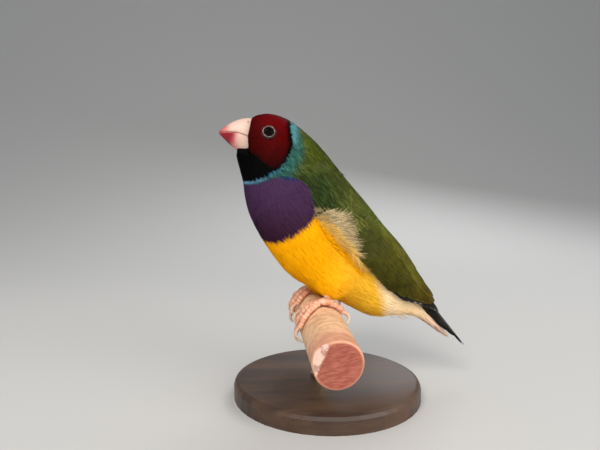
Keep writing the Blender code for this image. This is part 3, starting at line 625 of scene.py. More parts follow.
def recolor(mesh, tint):
    """Stains each barb with the markings of its own place, a little uneven from barb to barb. Green barbs
    differ most, and more so on the neck, where pale tips stand over dark gaps."""
    count = len(mesh.vertices)
    places, barb, tone = np.empty(count * 3), np.empty(count), np.empty(count)
    mesh.vertices.foreach_get("co", places)
    mesh.attributes["barb"].data.foreach_get("value", barb)
    mesh.attributes["tone"].data.foreach_get("value", tone)
    uneven = (barb + tone - 1.0) * 0.6
    places = places.reshape(-1, 3) * 1000 - PEG_CENTRE + np.stack([uneven, 0 * uneven, -uneven], -1)
    colors = tint(places)
    green = np.clip((colors[:, 1] - colors[:, 0]) / colors[:, 1] * 4, 0, 1)
    speckle = green * np.interp(places[:, 2], [46, 54], [1.0, 1.45])
    colors = colors * np.maximum(1 + speckle * (1.5 * barb + 0.9 * tone - 1.27), 0.25)[:, None]
    paint(mesh, "tint", colors, "FLOAT_COLOR")


def grow(name, bed, feather, finish, spacing, width, pitch, unevenness, seed, tint):
    """Grows feathers on a bed mesh and keeps the result as one plain mesh."""
    holder = bpy.data.objects.new(name + "_bed", bed)
    bpy.context.scene.collection.objects.link(holder)
    modifier = holder.modifiers.new("plumage", "NODES")
    modifier.node_group = plumage
    inputs = {
        "Feather": feather, "Spacing": spacing * 0.001, "Width": width, "Pitch": pitch,
        "Unevenness": unevenness, "Seed": seed, "Finish": finish,
    }
    for item in plumage.interface.items_tree:
        if item.name in inputs:
            modifier[item.identifier] = inputs[item.name]
    graph = bpy.context.evaluated_depsgraph_get()
    mesh = bpy.data.meshes.new_from_object(holder.evaluated_get(graph))
    mesh.name = name
    holder.modifiers.remove(modifier)
    bpy.data.objects.remove(holder)
    for spare in ("lie", "root", "spot", "cover", "length"):
        if spare in mesh.attributes:
            mesh.attributes.remove(mesh.attributes[spare])
    recolor(mesh, tint)
    return add(mesh, finish)


def bed_of(
    form, low, high, length, cover, lift, steps, columns=(0.0, 2 * math.pi), comb=None, uv=skin_map, follow=True
):
    """An open patch of a form, from ring low to ring high, carrying what the feathers there need: their
    length, cover, lie and place on the map. Feathers that follow lie along the lifted patch."""
    u, angle = np.meshgrid(np.linspace(low, high, steps[0]), np.linspace(*columns, steps[1]), indexing="ij")
    points = lift(u, angle)
    lie = unit(np.gradient(points, axis=0)) if follow else unit(form.slopes(u, angle)[0])
    if comb is not None:
        turn = comb(u, angle)[..., None]
        up = unit(-np.gradient(points, axis=1))
        lie = unit(lie * np.cos(turn) + up * np.sin(turn))
    bed = mesh_of("bed", points.reshape(-1, 3), grid_faces(*steps).tolist())
    paint(bed, "lie", lie.reshape(-1, 3), "FLOAT_VECTOR")
    paint(bed, "length", length(u, angle).ravel() * 0.001)
    paint(bed, "cover", cover(u, angle, points).ravel())
    paint(bed, "root", uv(u, angle).reshape(-1, 2), "FLOAT_VECTOR")
    return bed


def clear_of_face(u, angle, points):
    """No feathers on the eyes or inside the bill."""
    free = np.where(in_bill(points + np.array([0.25, 0, 0])), 0.0, 1.0)
    for side in (-1, 1):
        across, height, _ = off_eye(points, side)
        free[(across < 2.60) & (height > -4)] = 0
    return free


WING_TOP = ([7.9, 9.2, 13.0, 15.0], [1.12, 0.44, 0.38, 0.50])
WING_LOW = ([7.9, 9.0, 11.0, 15.0], [1.44, 1.48, 1.42, 1.30])


def coat_roots(u, angle):
    """Where the body feathers are rooted: in the skin, and over the front of the closed wings."""
    turn = np.minimum(angle, 2 * math.pi - angle)
    inner = np.clip((turn - np.interp(u, *WING_TOP) + 0.10) / 0.34, 0, 1)
    outer = np.clip((np.interp(u, *WING_LOW) + 0.16 - turn) / 0.30, 0, 1)
    share = eased(inner * outer * np.clip((u - 7.6) / 1.0, 0, 1))
    rise = share * np.interp(u, [7.6, 8.8, 9.6, 11.0, 12.2], [0.2, 1.5, 2.1, 2.0, 1.7])
    return skin_points(u, angle, 0.9) + body.outward(u, angle) * rise[..., None]


def clear_of_wing(u, angle, points):
    """No feathers behind the shoulder where the closed wings cover the sides."""
    turn = np.minimum(angle, 2 * math.pi - angle)
    covered = (turn > np.interp(u, *WING_TOP) + 0.12) & (turn < np.interp(u, *WING_LOW) - 0.10)
    return np.where(covered & (u > 11.5 + 0.3 * np.sin(turn * 9)), 0.0, 1.0)


def face_roots(u, angle):
    return skin_points(u, angle, 0.9)


face_feather = barbed_feather("face_feather", 5, 1.0, 0.05, 0.25, 11, 0.7)
body_feather = barbed_feather("body_feather", 9, 1.0, 0.04, 0.24, 12, 0.5)
# Each coat's first and last ring, its feathers' lengths at rings, and its bed, then the feathers' spacing,
# width, pitch and unevenness, and the seed.
for name, feather, ends, lengths, cover, roots, steps, *setting in (
    ("face_feathers", face_feather, (0.12, 5.8), ((0, 1, 3, 5.8), (0.8, 1.0, 1.35, 1.9)),
     clear_of_face, face_roots, (150, 300), 0.29, 0.42, 0.08, 0.35, 21),
    ("neck_feathers", body_feather, (5.4, 8.5), ((5.4, 8.5), (1.9, 3.0)),
     clear_of_face, coat_roots, (110, 300), 0.50, 0.32, 0.05, 0.45, 22),
    ("breast_and_mantle_feathers", body_feather, (8.2, 10.5), ((8.2, 10.5), (3.2, 4.4)),
     clear_of_wing, coat_roots, (110, 300), 0.64, 0.28, 0.04, 0.40, 23),
    ("belly_and_back_feathers", body_feather, (10.2, 12.8), ((10.2, 12.8), (4.2, 4.8)),
     clear_of_wing, coat_roots, (100, 260), 0.70, 0.28, 0.035, 0.35, 24),
    ("vent_and_rump_feathers", body_feather, (12.5, 15.9), ((12.5, 15.9), (4.6, 5.0)),
     clear_of_wing, coat_roots, (100, 260), 0.74, 0.30, 0.04, 0.40, 25),
):
    bed = bed_of(
        body, *ends, lambda u, angle: np.interp(u, *lengths), cover, roots, steps, follow=roots is coat_roots
    )
    grow(name, bed, feather, soft_plumage, *setting, markings)


# Eyes. Dark glossy balls set in the head, each with a brown iris that shows only close to, inside a ring
# of small bare grey beads along the lids' edges.
EYE_BLACK = (0.0015, 0.0013, 0.0015)
IRIS_BROWN = (0.014, 0.006, 0.0035)
LID_GREY = (0.560, 0.500, 0.450)
LID_STEPS = 96
LID_PROFILE = ((1.74, 1.70), (1.80, 1.92), (1.96, 2.02), (2.10, 1.94), (2.22, 1.66), (2.28, 0.60), (1.80, 0.60))
# Each row of beads: how many, the row's radius and height, a bead's size, and how pale it is.
LID_BEADS = ((26, 1.98, 1.96, 0.16, 1.0), (24, 2.52, 1.36, 0.12, 0.30))
BEAD_SHAPE = (0.85, 1.35, 0.75)


def ball_points(rings, segments):
    """Points and faces of a unit ball with its pole on +Z."""
    points = [(0.0, 0.0, 1.0)]
    for i in range(1, rings):
        polar = math.pi * i / rings
        for k in range(segments):
            turn = 2 * math.pi * k / segments
            points.append((math.sin(polar) * math.cos(turn), math.sin(polar) * math.sin(turn), math.cos(polar)))
    points.append((0.0, 0.0, -1.0))
    faces = [(0, 1 + k, 1 + (k + 1) % segments) for k in range(segments)]
    for i in range(rings - 2):
        for k in range(segments):
            a, b = 1 + i * segments + k, 1 + i * segments + (k + 1) % segments
            faces.append((a, a + segments, b + segments, b))
    last = 1 + (rings - 2) * segments
    faces += [(last + k, len(points) - 1, last + (k + 1) % segments) for k in range(segments)]
    return np.array(points), faces


def upright_on(outward):
    """Three axes whose third points outward and whose second leans upward."""
    up = np.array([0.0, 0.0, 1.0])
    second = unit(up - outward * (up @ outward))
    return np.stack([np.cross(second, outward), second, outward], 1)


def on_lid(turn, radius, height):
    """A place on the slightly oval lids, in the eye's own axes."""
    oval = 1 + 0.05 * abs(math.cos(turn))
    return np.array([radius * oval * math.cos(turn), radius * 0.97 * math.sin(turn), height])


eye_gloss = Finish("eye_gloss", {"Roughness": 0.05, "Specular IOR Level": 0.025})
from_pole = eye_gloss.attribute("from_pole")
iris = eye_gloss.band(from_pole, 0.44, 0.50) * (1 - eye_gloss.band(from_pole, 0.66, 0.72))
grain = 0.6 + 0.8 * eye_gloss.noise(2500.0, 2.0)
brown = eye_gloss.mix(grain, EYE_BLACK, IRIS_BROWN)
eye_gloss.feed("Base Color", eye_gloss.mix(iris, EYE_BLACK, brown))
lid_skin = Finish("lid_skin", {"Specular IOR Level": 0.4})
speck = lid_skin.noise(1600.0, 3.0)
bead = lid_skin.attribute("bead")
dark_lid, pale_lid = np.multiply(LID_GREY, 0.22), np.multiply(LID_GREY, 1.05)
lid_tone = lid_skin.mix(lid_skin.band(speck, 0.38, 0.66), dark_lid, pale_lid)
lid_skin.feed("Base Color", lid_skin.mix(bead, (0.045, 0.008, 0.008), lid_tone))
lid_skin.feed("Roughness", 0.42 + 0.2 * speck)
lid_skin.bump(speck, 0.4, 0.00006)
SIDES = ((-1, "left"), (1, "right"))
for side, name in SIDES:
    surface, outward = eye_place(side)
    axes = upright_on(outward)
    centre = surface - outward * EYE_SUNK
    points, faces = ball_points(40, 48)
    eye = mesh_of("eye_" + name, centre + points @ axes.T * EYE_RADIUS, faces)
    paint(eye, "from_pole", np.linalg.norm(points[:, :2], axis=1) + (points[:, 2] < 0))
    add(eye, eye_gloss.material, "eye_" + name).name = "eyeball_" + name
    lid_points, lid_faces, beads = [], [], []
    rows = len(LID_PROFILE)
    for i in range(LID_STEPS):
        turn = i * 2 * math.pi / LID_STEPS
        following = (i + 1) % LID_STEPS
        for k, (radius, height) in enumerate(LID_PROFILE):
            above = (k + 1) % rows
            lid_points.append(centre + axes @ on_lid(turn, radius, height))
            beads.append(0.06)
            lid_faces.append((i * rows + k, following * rows + k, following * rows + above, i * rows + above))
    random = np.random.default_rng(5 + side)
    small, small_faces = ball_points(6, 8)
    for row, (count, radius, height, size, tone) in enumerate(LID_BEADS):
        for k in range(count):
            turn = (k + 0.5 * row + 0.12 * random.uniform(-1, 1)) * 2 * math.pi / count
            cos, sin = math.cos(turn), math.sin(turn)
            spin = np.array([[cos, -sin, 0], [sin, cos, 0], [0, 0, 1]])
            shape = small * np.array(BEAD_SHAPE) * size * random.uniform(0.85, 1.15)
            start = len(lid_points)
            lid_points += list(centre + (shape @ spin.T + on_lid(turn, radius, height)) @ axes.T)
            beads += [tone * random.uniform(0.7, 1.0)] * len(small)
            lid_faces += [tuple(start + v for v in face) for face in small_faces]
    lid = mesh_of("lids_" + name, lid_points, lid_faces)
    paint(lid, "bead", beads)
    add(lid, lid_skin.material)


# Bill. Two horn sheaths over bone, ivory with a blush, that turn red at the tip and along the lower
# edge. They meet in a fine dark line, and the nostrils open at the base under the face feathers.
BILL_X = (-25.0, -26.2, -27.6, -29.1, -30.6, -32.1, -33.5, -34.8, -36.0, -36.8, -37.2)
CULMEN_Z = (75.0, 75.2, 75.1, 74.8, 74.4, 73.8, 73.0, 72.2, 71.3, 70.7, 70.3)
MOUTH_Z = (67.5, 67.8, 68.3, 68.9, 69.4, 69.7, 69.9, 69.9, 69.9, 69.8, 69.8)
GONYS_Z = (60.8, 61.2, 61.8, 62.6, 63.5, 64.5, 65.6, 66.9, 68.1, 68.9, 69.4)
BILL_HALF_WIDTH = (4.5, 4.5, 4.4, 4.1, 3.7, 3.2, 2.6, 1.9, 1.2, 0.65, 0.3)
MOUTH_GAP = 0.07
NOSTRIL_AT = (-26.6, 2.75, 73.25)
NOSTRIL_SIZE = (0.55, 0.5, 0.36)
IVORY = (0.655, 0.440, 0.360)
BLUSH = (0.540, 0.110, 0.120)
TIP_PINK = (0.330, 0.080, 0.078)
TIP_RED = (0.230, 0.008, 0.016)


def bill_half(upper):
    """Rings of one half of the bill, from the base to a rounded tip."""
    order = np.arange(len(BILL_X))
    fine = np.linspace(0, len(BILL_X) - 1, 56)

    def smooth(values):
        values = np.array(values)
        kernel = np.array([1, 2, 3, 2, 1]) / 9
        line = np.interp(fine, order, values)
        before = [2 * line[0] - line[2], 2 * line[0] - line[1]]
        after = [2 * line[-1] - line[-2]] * 2
        return np.convolve(np.concatenate([before, line, after]), kernel, "valid")

    x, mouth, half = smooth(BILL_X), smooth(MOUTH_Z), smooth(BILL_HALF_WIDTH)
    outer = smooth(CULMEN_Z) if upper else smooth(GONYS_Z)
    rings = []
    turn = np.linspace(0, math.pi, 33)
    for place, middle, width, edge in zip(x, mouth, half, outer):
        base = middle + (MOUTH_GAP if upper else -MOUTH_GAP)
        width = width * (1.0 if upper else 0.95)
        height = max(abs(edge - base), 0.06)
        lift = np.sin(turn) ** 0.9 * height * (1 if upper else -1)
        ridge = 1 + 0.03 * np.exp(-(((turn - math.pi / 2) / 0.18) ** 2)) * (1 if upper else 0)
        wall = np.stack([np.full(len(turn), place), -width * np.cos(turn), base + lift * ridge], -1)
        across = np.linspace(width, -width, 11)[1:-1] * 0.98
        floor = np.stack([np.full(len(across), place), across, np.full(len(across), base)], -1)
        rings.append(np.concatenate([wall, floor]))
    return rings


def turn_outward(whole, parts):
    """Fills a mesh with its parts, their faces turned outward."""
    edit = bmesh.new()
    for part in parts:
        edit.from_mesh(part)
    bmesh.ops.recalc_face_normals(edit, faces=edit.faces)
    edit.to_mesh(whole)
    edit.free()
    return whole


def tube_mesh(name, rings):
    """A closed tube through rings of equal size."""
    count, size = len(rings), len(rings[0])
    points = np.concatenate([*rings, [np.mean(rings[0], 0)], [np.mean(rings[-1], 0)]])
    last = (count - 1) * size
    ends = [(k, count * size, (k + 1) % size) for k in range(size)]
    ends += [(last + (k + 1) % size, count * size + 1, last + k) for k in range(size)]
    mesh = mesh_of(name, points, grid_faces(count, size, closed=True).tolist() + ends)
    return turn_outward(mesh, [mesh])


bill_horn = Finish("bill_horn", {"Specular IOR Level": 0.3})
place = bill_horn.place()
split = bill_horn.node("ShaderNodeSeparateXYZ", (), {0: place})
along_bill = 1000.0 * split * -1.0 - 27.0
height = Value(bill_horn, split.socket.node.outputs[2]) * 1000.0
horn_grain = bill_horn.noise(700.0, 4.0, place, 0.6)
cloud = bill_horn.noise(240.0, 2.0, place)
below = bill_horn.band(95.9 - height, 0.0, 0.6)
uneven = (cloud - 0.5) * 3.0
blush = bill_horn.band(along_bill + uneven + below * 3.2, 7.6, 11.0)
pink = bill_horn.band(along_bill + uneven * 0.5, 10.6, 12.0)
reddened = bill_horn.band(along_bill + uneven * 0.6 + height * 0.35, 38.2, 41.4)
deep = reddened * (1 - bill_horn.band(along_bill, 11.2, 12.2)) * below
warm = bill_horn.mix(blush * 0.95, IVORY, BLUSH)
warm = bill_horn.mix(bill_horn.band(horn_grain, 0.35, 0.75) * 0.15, warm, (0.72, 0.58, 0.50))
warm = bill_horn.mix(pink, warm, TIP_PINK)
bill_horn.feed("Base Color", bill_horn.mix(deep, warm, TIP_RED))
bill_horn.feed("Roughness", 0.32 + 0.18 * horn_grain)
bill_horn.bump(horn_grain, 0.25, 0.00012)
add(tube_mesh("upper_bill", bill_half(True)), bill_horn.material, "bill_upper")
add(tube_mesh("lower_bill", bill_half(False)), bill_horn.material, "bill_lower")
nostril_points, nostril_faces = [], []
small, small_faces = ball_points(10, 14)
for side in (-1, 1):
    start = len(nostril_points)
    centre = np.array(NOSTRIL_AT) * np.array([1, side, 1])
    nostril_points += list(centre + small * np.array(NOSTRIL_SIZE))
    nostril_faces += [tuple(start + v for v in face) for face in small_faces]
nostril_dark = Finish("nostril_dark", {"Roughness": 0.7})
dark_horn = nostril_dark.mix(nostril_dark.noise(900.0), (0.02, 0.008, 0.006), (0.05, 0.02, 0.016))
nostril_dark.feed("Base Color", dark_horn)
add(mesh_of("nostrils", nostril_points, nostril_faces), nostril_dark.material)


# Wings. Each closed wing is tiers of firm vanes over a thin pad of flesh: small and middle coverts, great
# coverts, then the inner and outer flight feathers, whose black tips show their pale edges.
GUIDE_REAR = (
    (29.8, 29.3, -1.2, 10.7, 14.2, 0.08),
    (34.2, 22.9, 9.2, 4.6, 12.0, 0.04),
    (38.0, 17.0, 20.0, 1.5, 9.2, 0.0),
    (41.5, 11.9, 30.0, 0.2, 6.8, 0.0),
    (44.7, 7.2, 37.0, -1.0, 5.0, 0.0),
    (47.6, 2.7, 42.0, -3.2, 3.8, 0.0),
    (50.4, -1.8, 46.5, -6.2, 3.0, 0.0),
)
WING_GREEN = (0.050, 0.060, 0.008)
WING_OLIVE = (0.060, 0.054, 0.003)
WING_BROWN = (0.072, 0.044, 0.001)
WING_EDGE = (0.150, 0.135, 0.028)
# Painted highlight: a pale sheen along the wing's upper edge.
DORSAL_HIGHLIGHT = (0.260, 0.300, 0.270)
QUILL_BLACK = (0.010, 0.009, 0.008)
QUILL_EDGE = (0.300, 0.260, 0.200)
# Tier, count, root place and angle, tip place and angle of its first and last feather, then width,
# lift at the root and tip, how far the outer edge stands up, and how round the tip is.
WING_TIERS = (
    ("primary", 9, (12.0, 1.10, 17.8, 0.98), (11.8, 1.20, 15.5, 1.54), 3.0, 0.50, 0.75, 0.50, 0.10),
    ("secondary", 9, (11.6, 0.70, 16.9, 0.74), (11.6, 1.34, 14.6, 1.43), 4.6, 0.95, 1.10, 0.62, 0.07),
    ("tertial", 3, (11.4, 0.54, 14.6, 0.46), (11.6, 0.68, 16.6, 0.60), 6.0, 1.00, 1.45, 0.70, 0.09),
    ("primary_covert", 5, (10.8, 1.24, 12.9, 1.30), (10.6, 1.36, 12.5, 1.40), 3.0, 0.90, 1.20, 0.30, 0.10),
    ("greater_covert", 14, (10.2, 0.56, 12.3, 0.52), (10.2, 1.32, 11.9, 1.36), 4.2, 0.80, 1.12, 0.30, 0.22),
    ("median_covert", 15, (9.2, 0.62, 11.15, 0.54), (9.4, 1.32, 10.9, 1.32), 3.7, 0.70, 1.16, 0.24, 0.26),
)
# How much further than a straight row the middle feathers of a tier reach.
TIER_BULGE = {"primary": 0.45, "secondary": 0.80}


class Quills:
    """Firm vanes gathered into one mesh, each with its own rectangle of the map."""

    COLUMNS = 9
    MAP = np.array([10, 8])
    HALF_THICK = 0.09
    SHAFT_HEIGHT = 0.10
    RAGGED = 0.035

    def __init__(self, seed):
        self.random = np.random.default_rng(seed)
        self.points, self.faces, self.tints, self.uvs, self.vanes = [], [], [], [], []

    def vane(self, place, width, lift, tilt, tip, tint, rows=26, narrow=0.6, cup=0.25):
        """One closed blade. place(share, across, lift) gives points, tint(share, side) its colours."""
        columns = self.COLUMNS
        share = np.linspace(0, 1, rows)
        side = np.linspace(-1, 1, columns)
        near_tip = np.clip((share - (1 - tip * 1.9)) / (tip * 1.9), 0, 1)
        taper = np.interp(share, [0, 0.25, 0.6, 1], [narrow, 0.92, 1.0, 0.96])
        taper = taper * np.sqrt(np.clip(1 - near_tip**2, 0.0, 1))
        ragged = 1 + self.RAGGED * self.random.standard_normal(rows) * (share > 0.3)
        ragged[-1] = 1
        half = width / 2 * np.maximum(taper * ragged, 0.035)
        s, a = np.meshgrid(share, side, indexing="ij")
        reach = half[:, None] * a
        fullness = half[:, None] / (width / 2)
        height = lift(s) + tilt / 2 * a * fullness - cup * a * a * fullness
        shaft = np.exp(-(((a + 0.12) / 0.10) ** 2)) * self.SHAFT_HEIGHT * (1 - s)
        edge = self.HALF_THICK * (1 - 0.6 * a * a)
        top = place(s, reach, height + edge + shaft)
        low = place(s, reach, height - edge)
        cell = len(self.points)
        start = sum(len(points) for points in self.points)
        self.points.append(np.concatenate([top.reshape(-1, 3), low.reshape(-1, 3)]))
        color = tint(s, a).reshape(-1, 3) * self.random.uniform(0.88, 1.10)
        # Painted shade: the under sheet of each vane is painted at 0.8 of the upper sheet's colour.
        self.tints.append(np.concatenate([color, color * 0.8]))
        vane = np.stack([(a * 0.5 + 0.5), s * 10.0], -1).reshape(-1, 2)
        self.vanes.append(np.concatenate([vane, vane]))
        under = rows * columns
        upper = grid_faces(rows, columns)[:, [0, 3, 2, 1]]
        lower = upper[:, ::-1] + under
        grid = np.arange(under).reshape(rows, columns)
        rim = np.concatenate([grid[0], grid[1:, -1], grid[-1, -2::-1], grid[-2:0:-1, 0]])
        following = np.roll(rim, -1)
        walls = np.stack([rim, following, following + under, rim + under], -1)
        local = np.stack([a * 0.44 + 0.5, s * 0.92 + 0.04], -1).reshape(-1, 2)
        column, row = cell % self.MAP[0], cell // self.MAP[0]
        upper_uv = (local * np.array([0.5, 1.0]) + np.array([column, row])) / self.MAP
        lower_uv = (local * np.array([0.42, 1.0]) + np.array([column + 0.53, row])) / self.MAP
        flat = np.concatenate([upper_uv, lower_uv])
        faces = np.concatenate([upper, lower, walls])
        wall_uv = np.stack([upper_uv[rim], upper_uv[following], upper_uv[following], upper_uv[rim]], 1)
        corner_uv = np.concatenate([flat[upper], flat[lower], wall_uv])
        self.faces.append(faces + start)
        self.uvs.append(corner_uv.reshape(-1, 2))

    def turn_over(self, first=0):
        """Turns the faces of the vanes from the given one on, after a mirrored place."""
        self.faces[first:] = [faces[:, ::-1] for faces in self.faces[first:]]
        self.uvs[first:] = [uv.reshape(-1, 4, 2)[:, ::-1].reshape(-1, 2) for uv in self.uvs[first:]]

    def mesh(self, name):
        mesh = mesh_of(name, np.concatenate(self.points), np.concatenate(self.faces).tolist())
        paint(mesh, "tint", np.concatenate(self.tints), "FLOAT_COLOR")
        paint(mesh, "vane", np.concatenate(self.vanes), "FLOAT_VECTOR")
        unwrap(mesh, np.concatenate(self.uvs))
        return mesh


# Firm barbs lock side by side, so they show as fine slanting lines either side of the shaft.
quill_vane = Finish("quill_vane", {"Specular IOR Level": 0.06})
vane = quill_vane.attribute("vane", 1)
split = quill_vane.node("ShaderNodeSeparateXYZ", (), {0: vane})
across = split - 0.44
away_from_shaft = across.math("ABSOLUTE", across)
along = Value(quill_vane, split.socket.node.outputs[1])
wobble = quill_vane.noise(420.0, 3.0)
slant = (along * 1.6 - away_from_shaft * 3.0 + wobble * 0.5) * 34.0
wave = slant.math("SINE", slant)
lengthwise = quill_vane.mapped(vane, Scale=(15.0, 0.8, 1.0))
spread = {0: quill_vane.place(), 1: (300.0, 300.0, 300.0), 2: lengthwise}
drifting = quill_vane.node("ShaderNodeVectorMath", {"operation": "MULTIPLY_ADD"}, spread)
streaks = quill_vane.noise(1.0, 3.0, drifting, 0.6)
light = 0.90 + 0.20 * wave + 0.9 * (wobble - 0.5)
light = light + 1.1 * (quill_vane.noise(170.0, 2.0) - 0.5) + 1.5 * (streaks - 0.5)
shade = quill_vane.node("ShaderNodeCombineColor", (), {0: light, 1: light, 2: light})
quill_vane.feed("Base Color", quill_vane.mix(1.0, quill_vane.attribute("tint", 0), shade, "MULTIPLY"))
quill_vane.feed("Roughness", 0.46 + 0.10 * wave)
quill_vane.bump(wave, 0.20, 0.00006)
guide = Form(BODY_RINGS[:13] + GUIDE_REAR)


def wing_tint(tier, near, far, low, glow):
    """Colours of a vane from its root at ring near to its tip at ring far, its lower edge at side 1. Low is
    its angle down the flank, where the green is painted darker as shade and, higher up, lighter as painted
    light, and glow the strength of a black tip's rim."""

    def tint(share, side):
        if tier == "primary":
            color = blend(QUILL_BLACK, np.asarray(QUILL_BLACK) * 1.3, share)
            pale = np.clip((side - 0.80) / 0.15, 0, 1) * np.clip((share - 0.5) / 0.2, 0, 1)
            pale = np.maximum(pale * 0.4, np.clip((share - 0.97 + 0.05 * glow) / 0.03, 0, 1) * glow)
            return blend(color, np.asarray(QUILL_EDGE) * (0.5 + 0.5 * share[..., None]), pale)
        place = near + (far - near) * share
        color = blend(WING_GREEN, WING_OLIVE, (place - 10.8) / 3.0)
        color = blend(color, WING_BROWN, (place - 14.4) / 2.4)
        # Painted light and shade: the green is painted lighter high on the wing, near the back, and darker down
        # the flank.
        color = color * np.interp(low, [0.5, 0.9, 1.35], [1.45, 0.92, 0.62])
        color = blend(color, np.asarray(QUILL_BLACK) * 1.2, np.clip((-side - 0.2) / 0.6, 0, 1) * 0.30)
        rim = np.clip((side - 0.76) / 0.2, 0, 1) * np.clip((place - 10.5) / 4, 0.12, 0.6)
        color = blend(color, WING_EDGE, rim)
        if tier == "secondary":
            return blend(color, QUILL_BLACK, np.clip((share - 0.93) / 0.07, 0, 1) * 0.8)
        if tier == "tertial":
            # Painted highlight: a pale sheen along the upper edge of the outer tertials, on the wing's skyline.
            line = np.clip((-side - 0.70) / 0.2, 0, 1) * np.clip((place - 12.8) / 2.4, 0, 1)
            return blend(color, DORSAL_HIGHLIGHT, line * 0.6)
        return color

    return tint


for side, name in SIDES:
    mirror = np.array([1, -side, 1])
    quills = Quills(40 + side)
    for tier, count, first, last, width, root_lift, tip_lift, tilt, tip in WING_TIERS:
        for i in range(count):
            step = i / (count - 1)
            u0, a0, u1, a1 = np.array(first) + (np.array(last) - np.array(first)) * step
            u1 += quills.random.uniform(-0.13, 0.10)
            u1 += TIER_BULGE.get(tier, 0) * math.sin(math.pi * step)

            def place(share, across, lift):
                u = u0 + (u1 - u0) * share
                angle = a0 + (a1 - a0) * share
                _, down = guide.slopes(u, angle)
                angle = angle + across / np.linalg.norm(down, axis=-1)
                return guide.lifted(u, angle, lift) * mirror

            def lift(share):
                return root_lift + (tip_lift - root_lift) * share

            glow = quills.random.uniform(0.1, 0.9)
            quills.vane(place, width, lift, tilt, tip, wing_tint(tier, u0, u1, a1, glow))
    if side < 0:
        quills.turn_over()
    add(quills.mesh("wing_quills_" + name), quill_vane.material, "wing_" + name)

    pad_u, pad_share = np.meshgrid(np.linspace(9.0, 15.0, 40), np.linspace(0, 1, 20), indexing="ij")
    top_angle = np.interp(pad_u, *WING_TOP) + 0.14
    low_angle = np.interp(pad_u, *WING_LOW)
    pad_angle = top_angle + (low_angle - top_angle) * pad_share
    crown = np.sin(pad_share * math.pi) ** 0.6
    outer = np.interp(pad_u, [9.0, 10.0, 12, 15.0], [0.1, 0.6, 0.6, 0.3])
    upper = guide.lifted(pad_u, pad_angle, 0.1 + (outer - 0.1) * crown) * mirror
    under = guide.lifted(pad_u, pad_angle, -0.6) * mirror
    pad = tube_mesh("wing_pad_" + name, [np.concatenate([t, u[::-1]]) for t, u in zip(upper, under)])
    stain(pad, np.tile(WING_GREEN, (len(pad.vertices), 1)))
    add(pad, soft_plumage)


# Tail. Twelve black vanes closed into a narrow fan, each pair shorter than the one inside it, and the
# middle pair drawn out into fine points. Pale blue coverts lie over the roots.
TAIL_ROOT = np.array((31.9, 0.0, 20.4))
TAIL_AHEAD = np.array((0.632, 0.0, -0.775))
TAIL_ARC = 4.6
# Each pair's distance from the middle, length, width and roundness at the tip.
TAIL_FEATHERS = (
    (0.75, 41.5, 3.4, 0.30),
    (1.6, 37.0, 4.2, 0.16),
    (2.4, 34.0, 4.4, 0.14),
    (3.2, 31.0, 4.4, 0.13),
    (4.0, 28.0, 4.2, 0.13),
    (4.7, 25.0, 4.0, 0.13),
)
# Each pale blue covert's distance from the middle, length and width.
TAIL_COVERTS = ((0.0, 17.0, 4.2), (1.3, 16.0, 4.0), (-1.3, 16.0, 4.0), (2.5, 13.5, 3.8), (-2.5, 13.5, 3.8))
TAIL_BLACK = (0.009, 0.008, 0.007)
TAIL_EDGE = (0.260, 0.230, 0.190)


def tail_place(length, sideways, side, root=TAIL_ROOT):
    """Points of a tail feather: the further out, the lower it lies round the arch."""
    above = np.array([-TAIL_AHEAD[2], 0, TAIL_AHEAD[0]])

    def place(share, across, lift):
        turn = (side * sideways * (0.55 + 0.45 * np.minimum(1.0, share * 2)) + side * across) / TAIL_ARC
        radius = TAIL_ARC + lift
        flat = (radius * np.sin(turn))[..., None] * np.array([0, 1, 0])
        flat = flat + (radius * np.cos(turn) - TAIL_ARC)[..., None] * above
        return root + TAIL_AHEAD * (length * share)[..., None] + flat

    return place


def tail_tint(share, side, strength):
    """Black, with a pale rim of the given strength from the middle on."""
    rim = np.clip((np.abs(side) - 0.78) / 0.16, 0, 1) * np.clip((share - 0.4) / 0.2, 0, 1)
    rim = rim * np.clip((0.9 - share) / 0.1, 0, 1)
    return blend(TAIL_BLACK, TAIL_EDGE, rim * strength)


tail = Quills(70)
for i, (sideways, length, width, tip) in enumerate(TAIL_FEATHERS):
    for side in (-1, 1):
        depth = -0.34 * i - (0.1 if side > 0 else 0)
        strength = 0.8 if i == 0 else 0.25
        tail.vane(
            tail_place(length, sideways, side), width, lambda share: depth + 0 * share, -0.25, tip,
            lambda share, across: tail_tint(share, across, strength), rows=34, narrow=0.4, cup=0.1,
        )
        if side < 0:
            tail.turn_over(len(tail.faces) - 1)


def covert_tint(share, side):
    color = blend(RUMP_BLUE, np.asarray(RUMP_BLUE) * 0.6, share)
    return blend(color, (0.30, 0.42, 0.40), np.clip((np.abs(side) - 0.7) / 0.3, 0, 1) * 0.6)


for sideways, length, width in TAIL_COVERTS:
    tail.vane(
        tail_place(length, sideways, 1, TAIL_ROOT - TAIL_AHEAD), width,
        lambda share: 0.66 - 0.12 * abs(sideways) + 0.15 * share, 0.0, 0.16, covert_tint,
        rows=20, narrow=0.7,
    )
add(tail.mesh("tail_quills"), quill_vane.material, "tail")


